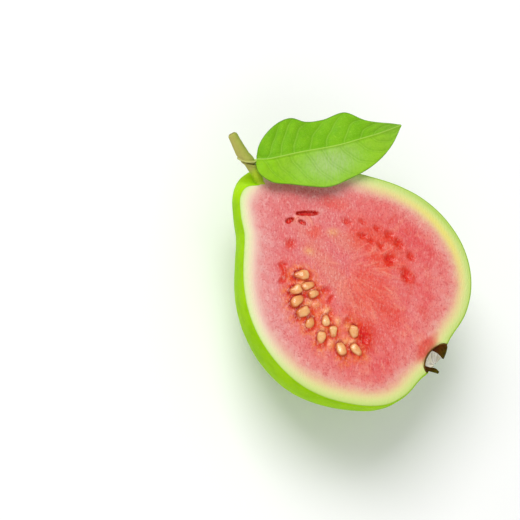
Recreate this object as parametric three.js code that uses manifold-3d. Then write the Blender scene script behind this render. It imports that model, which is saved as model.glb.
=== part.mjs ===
import * as THREE from 'three';
import { mergeVertices } from 'three/addons/utils/BufferGeometryUtils.js';
import Module from 'manifold-3d';

// Half a guava lying on its rounded back with the cut face up, millimetres.
// +X runs from the stalk end to the blossom end and +Z out of the cut face.
// The origin lies on the small flat spot that the half rests on, near its middle.

// Driving dimensions
const DEPTH = 39.6;
const REST_CLIP = 1;
const CUT_HEIGHT = DEPTH - REST_CLIP;
const GRID_CELLS = 34;
const FULLEST_DROP = 4.5;
const FULLEST_SWELL = 0.018;
const SHOULDER = { drop: 3, swell: 0.045, spread: 9 };
const BLOSSOM_END = 41.1;
const DIMPLE = { depth: 3.4, spread: 4, fade: 4.5 };
const PULP = { inner: 0.52, outer: 0.76, sink: 0.5, ripple: 0.3, lobes: 9 };
const TOUCH_GAP = 0.3;
const SEED = { length: 4.3, width: 2.7, height: 2.5, rise: 0.1 };
const SOCKET_RISE = 0.35;
const CRATER = { x: 40.8, y: 1.7, length: 4.8, width: 6.6, depth: 5.6 };
const CUP_WALL = 1.1;
const CUP_EDGE_DROP = 0.5;
const STALK_RADIUS = 1.15;
const TWIG_RADIUS = 1.45;
const RING = { width: 1.3, height: 0.75 };
const STEM_SIDES = 12;
const STEM_LENGTH = 22;
const LEAF_THICKNESS = 0.8;
const MIDRIB = { height: 0.7, width: 0.075 };
const LEAF_ROWS = 30;
const LEAF_COLUMNS = 12;

// Distance of the fruit's outline from the origin, by angle from +X in degrees
const OUTLINE = [
  [0, 40.3], [15, 39.2], [30, 41.5], [45, 42.7], [60, 42.3], [75, 40.7],
  [90, 38.7], [105, 36.6], [120, 35.3], [135, 35.8], [150, 38.1], [160, 41],
  [168, 43.8], [176, 45], [184, 45], [191, 44.2], [198, 41.2], [206, 37.8],
  [216, 36.6], [230, 36.7], [250, 37.9], [270, 39.4], [290, 41.2], [310, 42.3],
  [328, 43.6], [338, 42.7], [349, 40.4],
];

// Seeds on the cut face: place, turn in degrees and size against SEED
const SEEDS = [
  [-11.4, -12.1, 46, 0.98], [-7.6, -13.3, 61, 0.88], [-9.5, -17.3, 71, 0.9], [-4.4, -13.8, 66, 0.78],
  [-6.8, -19.7, 81, 1], [-2.9, -20.9, 76, 1.02], [1.1, -21.8, 111, 0.85], [4.4, -17.4, 136, 0.82],
  [8.5, -18.3, 140, 0.82], [7, -22.7, 126, 0.9], [13.4, -13.1, 140, 0.92], [14.1, -20.5, 145, 0.95],
  [17.8, -17, 176, 0.92],
];

// Sockets that seeds left: place, turn in degrees, length, width and depth
const SOCKETS = [
  [-24.4, 4.5, 50, 6.4, 1.9, 1.6], [-26.7, -1.6, 40, 2.6, 1.8, 1.1], [-23.2, 1.2, 60, 2.4, 1.7, 1],
  [-21.2, -7, 60, 3.4, 2.8, 1], [-18.1, -14.4, 60, 2.8, 2.2, 1.1], [-14.5, -17.8, 70, 2.6, 2, 1],
  [-2.7, -10, 40, 3.2, 2.2, 1.3], [0.7, -10.7, 30, 2.6, 2, 1.1], [-13, 12.6, 10, 3.4, 2.4, 1.4],
  [-9.2, 16.7, 20, 3.2, 2.4, 1.4], [-6, 13.2, 30, 3, 2.2, 1.2], [-4.6, 18.8, 0, 3.2, 2.4, 1.4],
  [-0.1, 20.7, 0, 3.2, 2.4, 1.3], [4.5, 20.8, -10, 3.4, 2.6, 1.5], [-3, 14, 20, 2.8, 2.2, 1.2],
  [0.5, 15.3, 10, 3, 2.2, 1.3], [5.3, 14.6, 0, 3, 2.4, 1.3], [9.9, 20.6, -20, 3.2, 2.4, 1.3],
  [13.2, 14.7, -30, 4.2, 3.2, 1.6], [9.8, -12.1, 120, 3, 2.4, 1.5], [16.9, -11.3, 130, 3, 2.4, 1.5],
];

// Middle line of the stem from its cut end to its foot in the dimple
const STEM_LINE = [
  [-59.8, 3, 4.6], [-55.5, 2, 3.7], [-51.7, 1.3, 2.7], [-49, 1, 1.6],
  [-45.4, 0.9, 0.3], [-42.2, 0.7, -1.2], [-39.3, 1.1, -2.6],
];
const RING_STATION = 0.52;

// Leaf lines from stem to tip: the midrib and the two waved margins
const LEAF_RIB = [
  [-48.4, 3.3, 3.4], [-46, 5.6, 4.4], [-43.3, 9.8, 5], [-39.9, 15.8, 5], [-36.2, 22, 4.6],
  [-32.5, 28.4, 4.4], [-29.2, 35.2, 4.2], [-25.9, 42.3, 3.8], [-22.5, 51.2, 3],
];
const LOWER_MARGIN = [
  [-48, 2.7, 3.2], [-44.8, 0.2, 4.2], [-40, 1.1, 3.8], [-34.9, 5.6, 3.6], [-29.7, 9.9, 4.2],
  [-25.1, 15.2, 3.8], [-22.3, 22.7, 3.2], [-20.2, 30.6, 3.8], [-20.1, 41.3, 3.2], [-22.5, 51.2, 3],
];
const UPPER_MARGIN = [
  [-48.8, 3.9, 3.2], [-50.6, 6.1, 4.6], [-52.3, 13.5, 5.8], [-50.2, 21.5, 5.2], [-45.9, 25.3, 3.4],
  [-42.5, 30.4, 3.2], [-38.9, 37.7, 4.6], [-32.4, 41.1, 4.4], [-26.5, 46.6, 3.1], [-22.5, 51.2, 3],
];

// Sepals: foot to tip along the middle, and half the width at the foot
const SEPALS = [
  { line: [[37, 5.2, -1], [38.3, 4.5, 0], [39.4, 3.6, 0.6], [40.5, 2.6, 0.8]], half: 2.3 },
  { line: [[38.6, -4, -0.8], [40, -3.2, 0.1], [41.3, -2.3, 0.6], [42.7, -2, 0.7]], half: 1 },
];
const SEPAL_THICKNESS = 0.7;

const wasm = await Module();
wasm.setup();

// Mesh helpers

function meshFromGrid(points, faces) {
  const geometry = new THREE.BufferGeometry();
  geometry.setAttribute('position', new THREE.Float32BufferAttribute(points.flat(), 3));
  geometry.setIndex(faces.flat());
  return geometry;
}

function solid(geometry) {
  const bare = geometry.clone();
  bare.deleteAttribute('normal');
  bare.deleteAttribute('uv');
  const merged = mergeVertices(bare, 1e-4);
  return new wasm.Manifold(new wasm.Mesh({
    numProp: 3,
    vertProperties: merged.attributes.position.array,
    triVerts: new Uint32Array(merged.index.array),
  }));
}

function geometryOf(manifold) {
  const mesh = manifold.getMesh();
  const geometry = new THREE.BufferGeometry();
  geometry.setAttribute('position', new THREE.BufferAttribute(mesh.vertProperties, 3));
  geometry.setIndex(new THREE.BufferAttribute(mesh.triVerts, 1));
  geometry.computeVertexNormals();
  return geometry;
}

function curveThrough(points) {
  return new THREE.CatmullRomCurve3(points.map((p) => new THREE.Vector3(...p)));
}

// Soft step from 0 to 1 between two values, which may run downwards
function smooth(from, to, value) {
  const t = THREE.MathUtils.clamp((value - from) / (to - from), 0, 1);
  return t * t * (3 - 2 * t);
}

// Fruit

function outlineRadius(degrees) {
  const count = OUTLINE.length;
  const angle = THREE.MathUtils.euclideanModulo(degrees, 360);
  const at = (i) => {
    const turns = Math.floor(i / count);
    const [a, r] = OUTLINE[THREE.MathUtils.euclideanModulo(i, count)];
    return [a + 360 * turns, r];
  };
  const next = OUTLINE.findIndex(([a]) => a > angle);
  const i = (next < 0 ? count : next) - 1;
  const [[a0, r0], [a1, r1], [a2, r2], [a3, r3]] = [at(i - 1), at(i), at(i + 1), at(i + 2)];
  const t = (angle - a1) / (a2 - a1);
  const rise1 = ((r2 - r0) / (a2 - a0)) * (a2 - a1);
  const rise2 = ((r3 - r1) / (a3 - a1)) * (a2 - a1);
  const hermite = [
    2 * t ** 3 - 3 * t ** 2 + 1, t ** 3 - 2 * t ** 2 + t,
    -2 * t ** 3 + 3 * t ** 2, t ** 3 - t ** 2,
  ];
  return hermite[0] * r1 + hermite[1] * rise1 + hermite[2] * r2 + hermite[3] * rise2;
}

function bell(degrees, centre, spread) {
  return Math.exp(-(((degrees - centre) / spread) ** 2));
}

// How far the skin swells out past the cut's outline, lower down
function swell(degrees) {
  return FULLEST_SWELL + SHOULDER.swell * bell(degrees, 180, SHOULDER.spread);
}

// Half the fruit's width at a station on its axis, on one side, by halving the angle
function halfWidth(x, side) {
  let low = 0;
  let high = 180;
  for (let step = 0; step < 24; step += 1) {
    const middle = (low + high) / 2;
    const degrees = side > 0 ? middle : 360 - middle;
    const reach = outlineRadius(degrees) * (1 + swell(degrees));
    if (reach * Math.cos(THREE.MathUtils.degToRad(middle)) > x) {
      low = middle;
    } else {
      high = middle;
    }
  }
  const degrees = side > 0 ? low : 360 - low;
  return outlineRadius(degrees) * (1 + swell(degrees)) * Math.sin(THREE.MathUtils.degToRad(low));
}

const MIDDLE_WIDTH = (halfWidth(0, 1) + halfWidth(0, -1)) / 2;

// Depth of the round back under the fullest section, which is near a circle at each station
function backDepth(x, y) {
  const sides = [halfWidth(x, -1), halfWidth(x, 1)];
  const width = sides[y < 0 ? 0 : 1];
  const round = Math.sqrt(Math.max(1 - (y / Math.max(width, 1e-6)) ** 2, 0));
  const end = Math.sqrt(Math.max(1 - (Math.max(x, 0) / BLOSSOM_END) ** 4, 0));
  const station = (sides[0] + sides[1]) / 2 / MIDDLE_WIDTH;
  return (DEPTH - FULLEST_DROP) * station * round * end;
}

// Skin point at an angle and at a share of the way from the rest spot to the rim
function skinPoint(theta, share) {
  const degrees = THREE.MathUtils.euclideanModulo(THREE.MathUtils.radToDeg(theta), 360);
  const lean = Math.acos(1 / (1 + swell(degrees)));
  const latitude = (1 - share) * (Math.PI / 2 + lean) - lean;
  const fullest = FULLEST_DROP + SHOULDER.drop * bell(degrees, 180, SHOULDER.spread);
  const reach = outlineRadius(degrees) * (1 + swell(degrees)) * Math.cos(latitude);
  let drop = fullest * (1 + Math.sin(latitude) / Math.sin(lean));
  if (latitude >= 0) {
    const settle = FULLEST_DROP + (fullest - FULLEST_DROP) * Math.cos(latitude) ** 2;
    drop = settle + backDepth(reach * Math.cos(theta), reach * Math.sin(theta));
  }
  const dimple = DIMPLE.depth * bell(degrees, 180, DIMPLE.spread) * Math.exp(-((drop / DIMPLE.fade) ** 2));
  const radius = reach - dimple;
  return [radius * Math.cos(theta), radius * Math.sin(theta), Math.max(CUT_HEIGHT - drop, 0)];
}

// Cut face point: pulp a little lower than the flesh, with soft ripples that fan out
function cutPoint(theta, share) {
  const [x, y] = skinPoint(theta, 1);
  const pulp = smooth(PULP.outer, PULP.inner, share);
  const rim = smooth(1, 0.94, share);
  const fan = Math.sin(theta * PULP.lobes + 7 * share) * smooth(0.05, 0.3, share);
  const z = CUT_HEIGHT - pulp * PULP.sink + (pulp + 0.25 * rim) * PULP.ripple * fan;
  return [x * share, y * share, z];
}

// Square cell corner carried onto the disc without a pole
function discPolar(i, j) {
  const a = (2 * i) / GRID_CELLS - 1;
  const b = (2 * j) / GRID_CELLS - 1;
  if (a === 0 && b === 0) {
    return [0, 0];
  }
  const quarter = Math.PI / 4;
  if (Math.abs(a) > Math.abs(b)) {
    return [quarter * (b / a) + (a < 0 ? Math.PI : 0), Math.abs(a)];
  }
  return [Math.PI / 2 - quarter * (a / b) + (b < 0 ? Math.PI : 0), Math.abs(b)];
}

function fruitBody() {
  const points = [];
  const faces = [];
  const side = GRID_CELLS + 1;
  for (const place of [cutPoint, skinPoint]) {
    const upward = place === cutPoint;
    const first = points.length;
    for (let j = 0; j < side; j += 1) {
      for (let i = 0; i < side; i += 1) {
        const [theta, share] = discPolar(i, j);
        points.push(share === 1 ? skinPoint(theta, 1) : place(theta, share));
      }
    }
    for (let j = 0; j < GRID_CELLS; j += 1) {
      for (let i = 0; i < GRID_CELLS; i += 1) {
        const p = first + j * side + i;
        const sameSide = (i < GRID_CELLS / 2) === (j < GRID_CELLS / 2);
        const cell = sameSide
          ? [[p, p + 1, p + side], [p + 1, p + side + 1, p + side]]
          : [[p, p + 1, p + side + 1], [p, p + side + 1, p + side]];
        for (const face of cell) {
          faces.push(upward ? face : [...face].reverse());
        }
      }
    }
  }
  return solid(meshFromGrid(points, faces));
}

// Ball stretched to the given sizes, narrower towards one end, turned about Z
function drop(length, width, height, turn, detail, narrowing = 0.18) {
  const ball = new THREE.IcosahedronGeometry(1, detail);
  const position = ball.attributes.position;
  for (let i = 0; i < position.count; i += 1) {
    const along = position.getX(i);
    const girth = 1 - narrowing * along;
    position.setXYZ(
      i, (along * length) / 2, (position.getY(i) * girth * width) / 2,
      (position.getZ(i) * girth * height) / 2,
    );
  }
  return ball.rotateZ(THREE.MathUtils.degToRad(turn));
}

function cutHeightAt(x, y) {
  const theta = Math.atan2(y, x);
  const rim = outlineRadius(THREE.MathUtils.radToDeg(theta));
  return cutPoint(theta, Math.hypot(x, y) / rim)[2];
}

function seedBalls() {
  return SEEDS.map(([x, y, turn, size]) => {
    const ball = drop(SEED.length * size, SEED.width * size, SEED.height * size, turn, 2);
    return ball.translate(x, y, cutHeightAt(x, y) + SEED.rise);
  });
}

function socketBalls() {
  return SOCKETS.map(([x, y, turn, length, width, depth]) => {
    const ball = drop(length, width, 2 * (depth + SOCKET_RISE), turn, 1);
    return ball.translate(x, y, cutHeightAt(x, y) + SOCKET_RISE);
  });
}

function craterBall(inset) {
  const ball = new THREE.SphereGeometry(1, 20, 14);
  ball.rotateX(Math.PI / 2);
  ball.scale(CRATER.length - inset, CRATER.width - inset, CRATER.depth - inset);
  return ball.translate(CRATER.x, CRATER.y, CUT_HEIGHT);
}

// Stem

function stemRadius(share) {
  const offset = ((share - RING_STATION) * STEM_LENGTH) / RING.width;
  const ring = RING.height * Math.exp(-(offset ** 2));
  const flare = 0.35 * smooth(0.12, 0, share);
  const twig = smooth(RING_STATION + 0.08, RING_STATION - 0.08, share);
  return THREE.MathUtils.lerp(STALK_RADIUS, TWIG_RADIUS, twig) + ring + flare;
}

function sweep(curve, rows, sides, radiusAt) {
  const frames = curve.computeFrenetFrames(rows, false);
  const points = [];
  const faces = [];
  for (let row = 0; row <= rows; row += 1) {
    const centre = curve.getPointAt(row / rows);
    for (let k = 0; k < sides; k += 1) {
      const angle = (2 * Math.PI * k) / sides;
      const radius = radiusAt(row / rows, angle);
      const out = frames.normals[row].clone().multiplyScalar(radius * Math.cos(angle));
      out.addScaledVector(frames.binormals[row], radius * Math.sin(angle));
      points.push(centre.clone().add(out).toArray());
    }
  }
  for (let row = 0; row < rows; row += 1) {
    for (let k = 0; k < sides; k += 1) {
      const a = row * sides + k;
      const b = row * sides + ((k + 1) % sides);
      faces.push([a, b, a + sides], [b, b + sides, a + sides]);
    }
  }
  const foot = points.length;
  points.push(curve.getPointAt(0).toArray(), curve.getPointAt(1).toArray());
  for (let k = 0; k < sides; k += 1) {
    const next = (k + 1) % sides;
    faces.push([foot, next, k], [foot + 1, rows * sides + k, rows * sides + next]);
  }
  return meshFromGrid(points, faces);
}

function raised(points) {
  return points.map(([x, y, z]) => [x, y, z + CUT_HEIGHT]);
}

function stemGeometry(clearance = 0) {
  const curve = curveThrough(raised(STEM_LINE));
  return sweep(curve, 40, STEM_SIDES, (share) => stemRadius(share) + clearance);
}

// Leaf

// Closed thin sheet: the same cells on both faces, joined round the edge
function sheet(rows, columns, middleAt, thicknessAt) {
  const points = [];
  const faces = [];
  const side = columns + 1;
  const total = (rows + 1) * side;
  for (const sign of [1, -1]) {
    for (let row = 0; row <= rows; row += 1) {
      for (let column = 0; column <= columns; column += 1) {
        const across = (2 * column) / columns - 1;
        const [x, y, z] = middleAt(row / rows, across);
        points.push([x, y, z + (sign * thicknessAt(row / rows, across, sign)) / 2]);
      }
    }
  }
  for (let row = 0; row < rows; row += 1) {
    for (let column = 0; column < columns; column += 1) {
      const p = row * side + column;
      const cell = [[p, p + side, p + 1], [p + 1, p + side, p + side + 1]];
      for (const [a, b, c] of cell) {
        faces.push([a, b, c], [a + total, c + total, b + total]);
      }
    }
  }
  const edge = [];
  for (let column = 0; column < columns; column += 1) {
    edge.push([column, column + 1]);
    edge.push([rows * side + column + 1, rows * side + column]);
  }
  for (let row = 0; row < rows; row += 1) {
    edge.push([(row + 1) * side, row * side]);
    edge.push([row * side + columns, (row + 1) * side + columns]);
  }
  for (const [a, b] of edge) {
    faces.push([a, b, b + total], [a, b + total, a + total]);
  }
  return meshFromGrid(points, faces);
}

function leafGeometry() {
  const rib = curveThrough(raised(LEAF_RIB));
  const lower = curveThrough(raised(LOWER_MARGIN));
  const upper = curveThrough(raised(UPPER_MARGIN));
  const first = 0.01;
  const last = 0.985;
  const middleAt = (share, across) => {
    const along = THREE.MathUtils.lerp(first, last, share);
    const margin = across < 0 ? lower : upper;
    const point = rib.getPointAt(along).lerp(margin.getPointAt(along), Math.abs(across));
    point.z -= 1.1 * Math.sin(Math.PI * Math.abs(across)) * Math.sin(Math.PI * share) * 0.4;
    return point.toArray();
  };
  const thicknessAt = (share, across, sign) => {
    const rib = MIDRIB.height * Math.exp(-((across / MIDRIB.width / 2) ** 2));
    return LEAF_THICKNESS + (sign < 0 ? 2 * rib * (1 - 0.6 * share) : 0);
  };
  return sheet(LEAF_ROWS, LEAF_COLUMNS, middleAt, thicknessAt);
}

// Calyx

function sepalGeometry({ line, half }) {
  const curve = curveThrough(raised(line));
  const middleAt = (share, across) => {
    const point = curve.getPointAt(share);
    const ahead = curve.getTangentAt(share);
    const sideways = new THREE.Vector3(-ahead.y, ahead.x, 0).normalize();
    const width = half * (1 - share) ** 0.8 + 0.25;
    point.addScaledVector(sideways, across * width);
    point.z -= 0.5 * across ** 2;
    return point.toArray();
  };
  return sheet(8, 4, middleAt, () => SEPAL_THICKNESS);
}

function calyxSolid(wall) {
  const outer = solid(craterBall(TOUCH_GAP));
  const inner = solid(craterBall(TOUCH_GAP + CUP_WALL));
  const keep = new THREE.BoxGeometry(2 * CRATER.length, 4 * CRATER.width, 2 * CRATER.depth);
  keep.translate(CRATER.x - CRATER.length, CRATER.y, CUT_HEIGHT - CUP_EDGE_DROP - CRATER.depth);
  let cup = outer.subtract(inner).intersect(solid(keep));
  for (const sepal of SEPALS) {
    cup = cup.add(solid(sepalGeometry(sepal)));
  }
  return cup.subtract(wall);
}

// Assembly

function part(name, geometry, color, roughness) {
  const material = new THREE.MeshStandardMaterial({ color, roughness, metalness: 0 });
  const mesh = new THREE.Mesh(geometry, material);
  mesh.name = name;
  return mesh;
}

function fruitSolid() {
  let fruit = fruitBody();
  for (const ball of socketBalls()) {
    fruit = fruit.subtract(solid(ball));
  }
  for (const ball of seedBalls()) {
    fruit = fruit.add(solid(ball));
  }
  fruit = fruit.subtract(solid(craterBall(0)));
  return fruit.subtract(solid(stemGeometry(TOUCH_GAP)));
}

const fruit = fruitSolid();
const guava = new THREE.Group();
guava.add(part('guava_half', geometryOf(fruit), '#e07a72', 0.4));
guava.add(part('stem', stemGeometry(), '#a5aa46', 0.7));
guava.add(part('leaf', leafGeometry(), '#7dc828', 0.5));
guava.add(part('calyx', geometryOf(calyxSolid(fruit)), '#4a3010', 0.8));

export default guava;
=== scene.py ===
import math

import bpy
import numpy as np
from mathutils import Matrix, Vector


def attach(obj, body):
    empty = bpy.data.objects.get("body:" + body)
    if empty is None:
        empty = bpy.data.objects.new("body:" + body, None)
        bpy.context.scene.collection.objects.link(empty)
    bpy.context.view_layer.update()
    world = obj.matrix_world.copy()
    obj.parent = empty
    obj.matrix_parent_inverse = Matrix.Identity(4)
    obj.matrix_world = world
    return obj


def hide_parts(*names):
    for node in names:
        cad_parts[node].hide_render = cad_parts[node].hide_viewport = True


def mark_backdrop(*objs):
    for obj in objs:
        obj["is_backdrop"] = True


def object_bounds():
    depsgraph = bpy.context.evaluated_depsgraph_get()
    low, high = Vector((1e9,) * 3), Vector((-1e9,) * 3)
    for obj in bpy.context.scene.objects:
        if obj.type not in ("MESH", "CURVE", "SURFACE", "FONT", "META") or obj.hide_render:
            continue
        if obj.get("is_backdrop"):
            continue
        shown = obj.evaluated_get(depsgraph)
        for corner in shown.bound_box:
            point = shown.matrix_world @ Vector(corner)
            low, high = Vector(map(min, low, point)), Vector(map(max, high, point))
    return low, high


bl_info = {
    "name": "Guava half",
    "version": (1, 0, 0),
    "blender": (4, 5, 0),
    "location": "3D View > Sidebar > Guava",
    "description": "Half a pink guava with its stem, leaf and calyx",
    "category": "Add Mesh",
}

# The shape functions work in millimetres from the frame's origin, a point on the rest spot.
# Meshes are written in metres.
MM = 0.001
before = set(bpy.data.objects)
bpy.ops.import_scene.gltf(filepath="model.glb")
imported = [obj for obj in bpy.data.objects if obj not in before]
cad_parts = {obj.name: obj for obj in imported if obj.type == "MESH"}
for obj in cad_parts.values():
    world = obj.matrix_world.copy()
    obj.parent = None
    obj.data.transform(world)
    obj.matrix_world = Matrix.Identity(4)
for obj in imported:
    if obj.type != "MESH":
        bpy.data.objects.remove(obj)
cad_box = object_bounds()
BODY = "root"

# Fruit form, as in the solids
DEPTH = 39.6
REST_CLIP = 1.0
CUT = DEPTH - REST_CLIP
FULLEST_DROP = 4.5
FULLEST_SWELL = 0.018
SHOULDER_DROP = 3.0
SHOULDER_SWELL = 0.045
SHOULDER_SPREAD = 9.0
BLOSSOM_END = 41.1
DIMPLE_DEPTH = 3.4
DIMPLE_SPREAD = 4.0
DIMPLE_FADE = 4.5
CRATER_CENTRE = (40.8, 1.7)
CRATER_RADII = (4.8, 6.6, 5.6)
CRATER_ROUNDING = 0.5
NORMAL_PASSES = 8

# Distance of the outline from the origin, by angle from +X in degrees
OUTLINE = np.array([
    [0, 40.3], [15, 39.2], [30, 41.5], [45, 42.7], [60, 42.3], [75, 40.7],
    [90, 38.7], [105, 36.6], [120, 35.3], [135, 35.8], [150, 38.1], [160, 41],
    [168, 43.8], [176, 45], [184, 45], [191, 44.2], [198, 41.2], [206, 37.8],
    [216, 36.6], [230, 36.7], [250, 37.9], [270, 39.4], [290, 41.2], [310, 42.3],
    [328, 43.6], [338, 42.7], [349, 40.4],
])

# Seeds: place, turn in degrees and size against SEED_SIZE
SEED_SIZE = (5.1, 3.3, 2.7)
SEEDS = np.array([
    [-11.4, -12.1, 46, 0.98], [-7.6, -13.3, 61, 0.88], [-9.5, -17.3, 71, 0.9],
    [-4.4, -13.8, 66, 0.78], [-6.8, -19.7, 81, 1], [-2.9, -20.9, 76, 1.02],
    [1.1, -21.8, 111, 0.85], [4.4, -17.4, 136, 0.82], [8.5, -18.3, 140, 0.82],
    [7, -22.7, 126, 0.9], [13.4, -13.1, 140, 0.92], [14.1, -20.5, 145, 0.95],
    [17.8, -17, 176, 0.92],
])

# Sockets that seeds left: place, turn in degrees, length, width and depth. The first few are the
# narrow slits by the stalk end, SLITS of them.
SOCKETS = np.array([
    [-24.4, 4.5, 50, 6.8, 1.6, 1.3], [-26.7, -1.6, 76, 2.8, 1.5, 1.0], [-23.2, 1.2, 20, 2.4, 1.2, 0.8],
    [-21.2, -7, 60, 3.4, 2.8, 0.5], [-18.1, -14.4, 60, 3.2, 1.6, 0.8], [-14.5, -17.8, 70, 2.8, 1.5, 0.7],
    [-2.7, -10, 40, 3.2, 2.2, 0.9], [0.7, -10.7, 100, 2.6, 1.5, 0.7], [-13, 12.6, 10, 3.2, 2.2, 0.9],
    [-9.2, 16.7, 20, 2.8, 1.8, 0.8], [-6, 13.2, 30, 3, 1.8, 1.0], [-4.6, 18.8, 0, 2.4, 1.4, 0.7],
    [-0.1, 20.7, 20, 2.8, 2.0, 1.1], [4.5, 20.8, -10, 3.4, 2.2, 1.3], [-3, 14, 20, 2.6, 1.7, 0.7],
    [0.5, 15.3, 10, 2.8, 1.8, 0.7], [5.3, 14.6, 0, 3.6, 2.8, 1.1], [9.9, 20.6, -20, 3, 2.0, 1.1],
    [13.2, 14.7, -30, 4, 2.8, 1.2], [9.8, -12.1, 120, 3.4, 2.4, 1.2], [17.6, -12.2, 130, 2.8, 2.0, 1.0],
    [3.8, -14.8, 95, 2.4, 1.4, 0.7],
])
SLITS = 3


def srgb(red, green, blue):
    """Scene-linear colour of an 8-bit display colour."""
    def channel(value):
        value = value / 255
        return value / 12.92 if value <= 0.04045 else ((value + 0.055) / 1.055) ** 2.4
    return (channel(red), channel(green), channel(blue), 1.0)


# Numbers over surfaces

def smooth(low, high, value):
    """Soft step from 0 to 1 as the value goes from low to high, which may run downwards."""
    t = np.clip((value - low) / (high - low), 0, 1)
    return t * t * (3 - 2 * t)


def bell(value, centre, spread):
    """Bell curve of height 1."""
    return np.exp(-((value - centre) / spread) ** 2)


def lattice(ix, iy, iz, seed):
    """Repeatable random number from 0 to 1 for each whole-numbered corner."""
    mixed = (ix * 374761393 + iy * 668265263 + iz * 1274126177 + seed * 974711) & 0xFFFFFFFF
    mixed = ((mixed ^ (mixed >> 13)) * 1103515245) & 0xFFFFFFFF
    mixed = ((mixed ^ (mixed >> 16)) * 2654435761) & 0xFFFFFFFF
    return ((mixed >> 8) & 0xFFFF) / 65535.0


def noise(points, size, seed):
    """Smooth random field from -1 to 1: corner numbers a size apart, blended in each cell."""
    scaled = np.asarray(points, float) / size
    corner = np.floor(scaled).astype(np.int64)
    part = scaled - corner
    part = part * part * (3 - 2 * part)
    total = 0.0
    for step in np.ndindex(2, 2, 2):
        weight = np.prod(np.where(step, part, 1 - part), axis=-1)
        total = total + weight * lattice(*np.moveaxis(corner + step, -1, 0), seed)
    return 2 * total - 1


def layered(points, layers):
    """Sum of random fields, each given by its height, size and seed."""
    return sum(height * noise(points, size, seed) for height, size, seed in layers)


def flat_noise(x, y, size, seed):
    """The random field read on a level plane, away from the whole-numbered corners."""
    return noise(np.stack([x, y, np.zeros_like(x) + 0.37 * size], -1), size, seed)


def flat_layered(x, y, layers):
    """Sum of random fields read on a level plane."""
    return sum(height * flat_noise(x, y, size, seed) for height, size, seed in layers)


def cubic(t, step, start, end, start_slope, end_slope):
    """Cubic piece from one value to the next over a step, with the slopes at both."""
    return (
        (2 * t**3 - 3 * t**2 + 1) * start + (t**3 - 2 * t**2 + t) * step * start_slope
        + (3 * t**2 - 2 * t**3) * end + (t**3 - t**2) * step * end_slope
    )


# Form of the fruit

def outline(theta):
    """Outline distance: cubic pieces through the OUTLINE points, with slopes from their neighbours."""
    angle = np.concatenate([OUTLINE[-2:, 0] - 360, OUTLINE[:, 0], OUTLINE[:3, 0] + 360])
    reach = np.concatenate([OUTLINE[-2:, 1], OUTLINE[:, 1], OUTLINE[:3, 1]])
    slope = np.zeros_like(reach)
    slope[1:-1] = (reach[2:] - reach[:-2]) / (angle[2:] - angle[:-2])
    degrees = np.degrees(theta) % 360
    k = np.searchsorted(angle, degrees, side="right") - 1
    step = angle[k + 1] - angle[k]
    t = (degrees - angle[k]) / step
    return cubic(t, step, reach[k], reach[k + 1], slope[k], slope[k + 1])


def at_stalk(theta, spread):
    """Bell of height 1 round the stalk end, its spread in degrees."""
    return bell(np.degrees(theta) % 360, 180, spread)


def swell(theta):
    """Share by which the skin swells out past the cut's outline, lower down."""
    return FULLEST_SWELL + SHOULDER_SWELL * at_stalk(theta, SHOULDER_SPREAD)


def half_width(x, side):
    """Half the fruit's width at a station on its axis, on one side."""
    theta = np.radians(np.linspace(0, 180, 1441)) * side
    reach = outline(theta) * (1 + swell(theta))
    stations = reach * np.cos(theta)
    widths = np.abs(reach * np.sin(theta))
    order = np.argsort(stations)
    return np.interp(x, stations[order], widths[order])


def back_depth(x, y):
    """Depth of the back under the fullest section: near a circle at each station, rounded to the
    blossom end."""
    left, right = half_width(x, 1), half_width(x, -1)
    middle = (half_width(0.0, 1) + half_width(0.0, -1)) / 2
    width = np.maximum(np.where(y < 0, right, left), 1e-6)
    round_section = np.sqrt(np.clip(1 - (y / width) ** 2, 0, 1))
    end = np.sqrt(np.clip(1 - (np.maximum(x, 0) / BLOSSOM_END) ** 4, 0, 1))
    return (DEPTH - FULLEST_DROP) * (left + right) / 2 / middle * round_section * end


def crater_reach(theta, drop):
    """Distance along a ray at which it enters the crater, at a depth under the cut: a ray meets an
    ellipse."""
    (cx, cy), (a, b, c) = CRATER_CENTRE, CRATER_RADII
    along = (np.cos(theta) / a) ** 2 + (np.sin(theta) / b) ** 2
    toward = np.cos(theta) * cx / a**2 + np.sin(theta) * cy / b**2
    rest = (cx / a) ** 2 + (cy / b) ** 2 + (drop / c) ** 2 - 1
    inside = toward**2 - along * rest
    near = (toward - np.sqrt(np.maximum(inside, 0))) / along
    return np.where((inside > 0) & (toward > 0), near, 1e3)


def soft_min(a, b, radius):
    """The smaller of two lengths, with the crease between them rounded."""
    blend = np.clip(0.5 + 0.5 * (b - a) / radius, 0, 1)
    return b + (a - b) * blend - radius * blend * (1 - blend)


def skin_points(theta, share):
    """Skin: share runs from the foot to the rim along each ray. The reach is a cosine of latitude, the
    drop follows back_depth, and the dimple and the crater are pressed in. The foot isn't cut flat yet."""
    extra = swell(theta)
    lean = np.arccos(1 / (1 + extra))
    latitude = (1 - share) * (np.pi / 2 + lean) - lean
    fullest = FULLEST_DROP + SHOULDER_DROP * at_stalk(theta, SHOULDER_SPREAD)
    reach = outline(theta) * (1 + extra) * np.cos(latitude)
    upper = fullest * (1 + np.sin(latitude) / np.sin(lean))
    settle = FULLEST_DROP + (fullest - FULLEST_DROP) * np.cos(latitude) ** 2
    lower = settle + back_depth(reach * np.cos(theta), reach * np.sin(theta))
    drop = np.where(latitude < 0, upper, lower)
    reach = reach - DIMPLE_DEPTH * at_stalk(theta, DIMPLE_SPREAD) * bell(drop, 0, DIMPLE_FADE)
    reach = soft_min(reach, crater_reach(theta, drop), CRATER_ROUNDING)
    return np.stack([reach * np.cos(theta), reach * np.sin(theta), CUT - drop], -1)


def skin_grid(angle, shares):
    """Points of the skin, angle by share."""
    return skin_points(*np.meshgrid(angle, shares, indexing="ij"))


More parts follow.
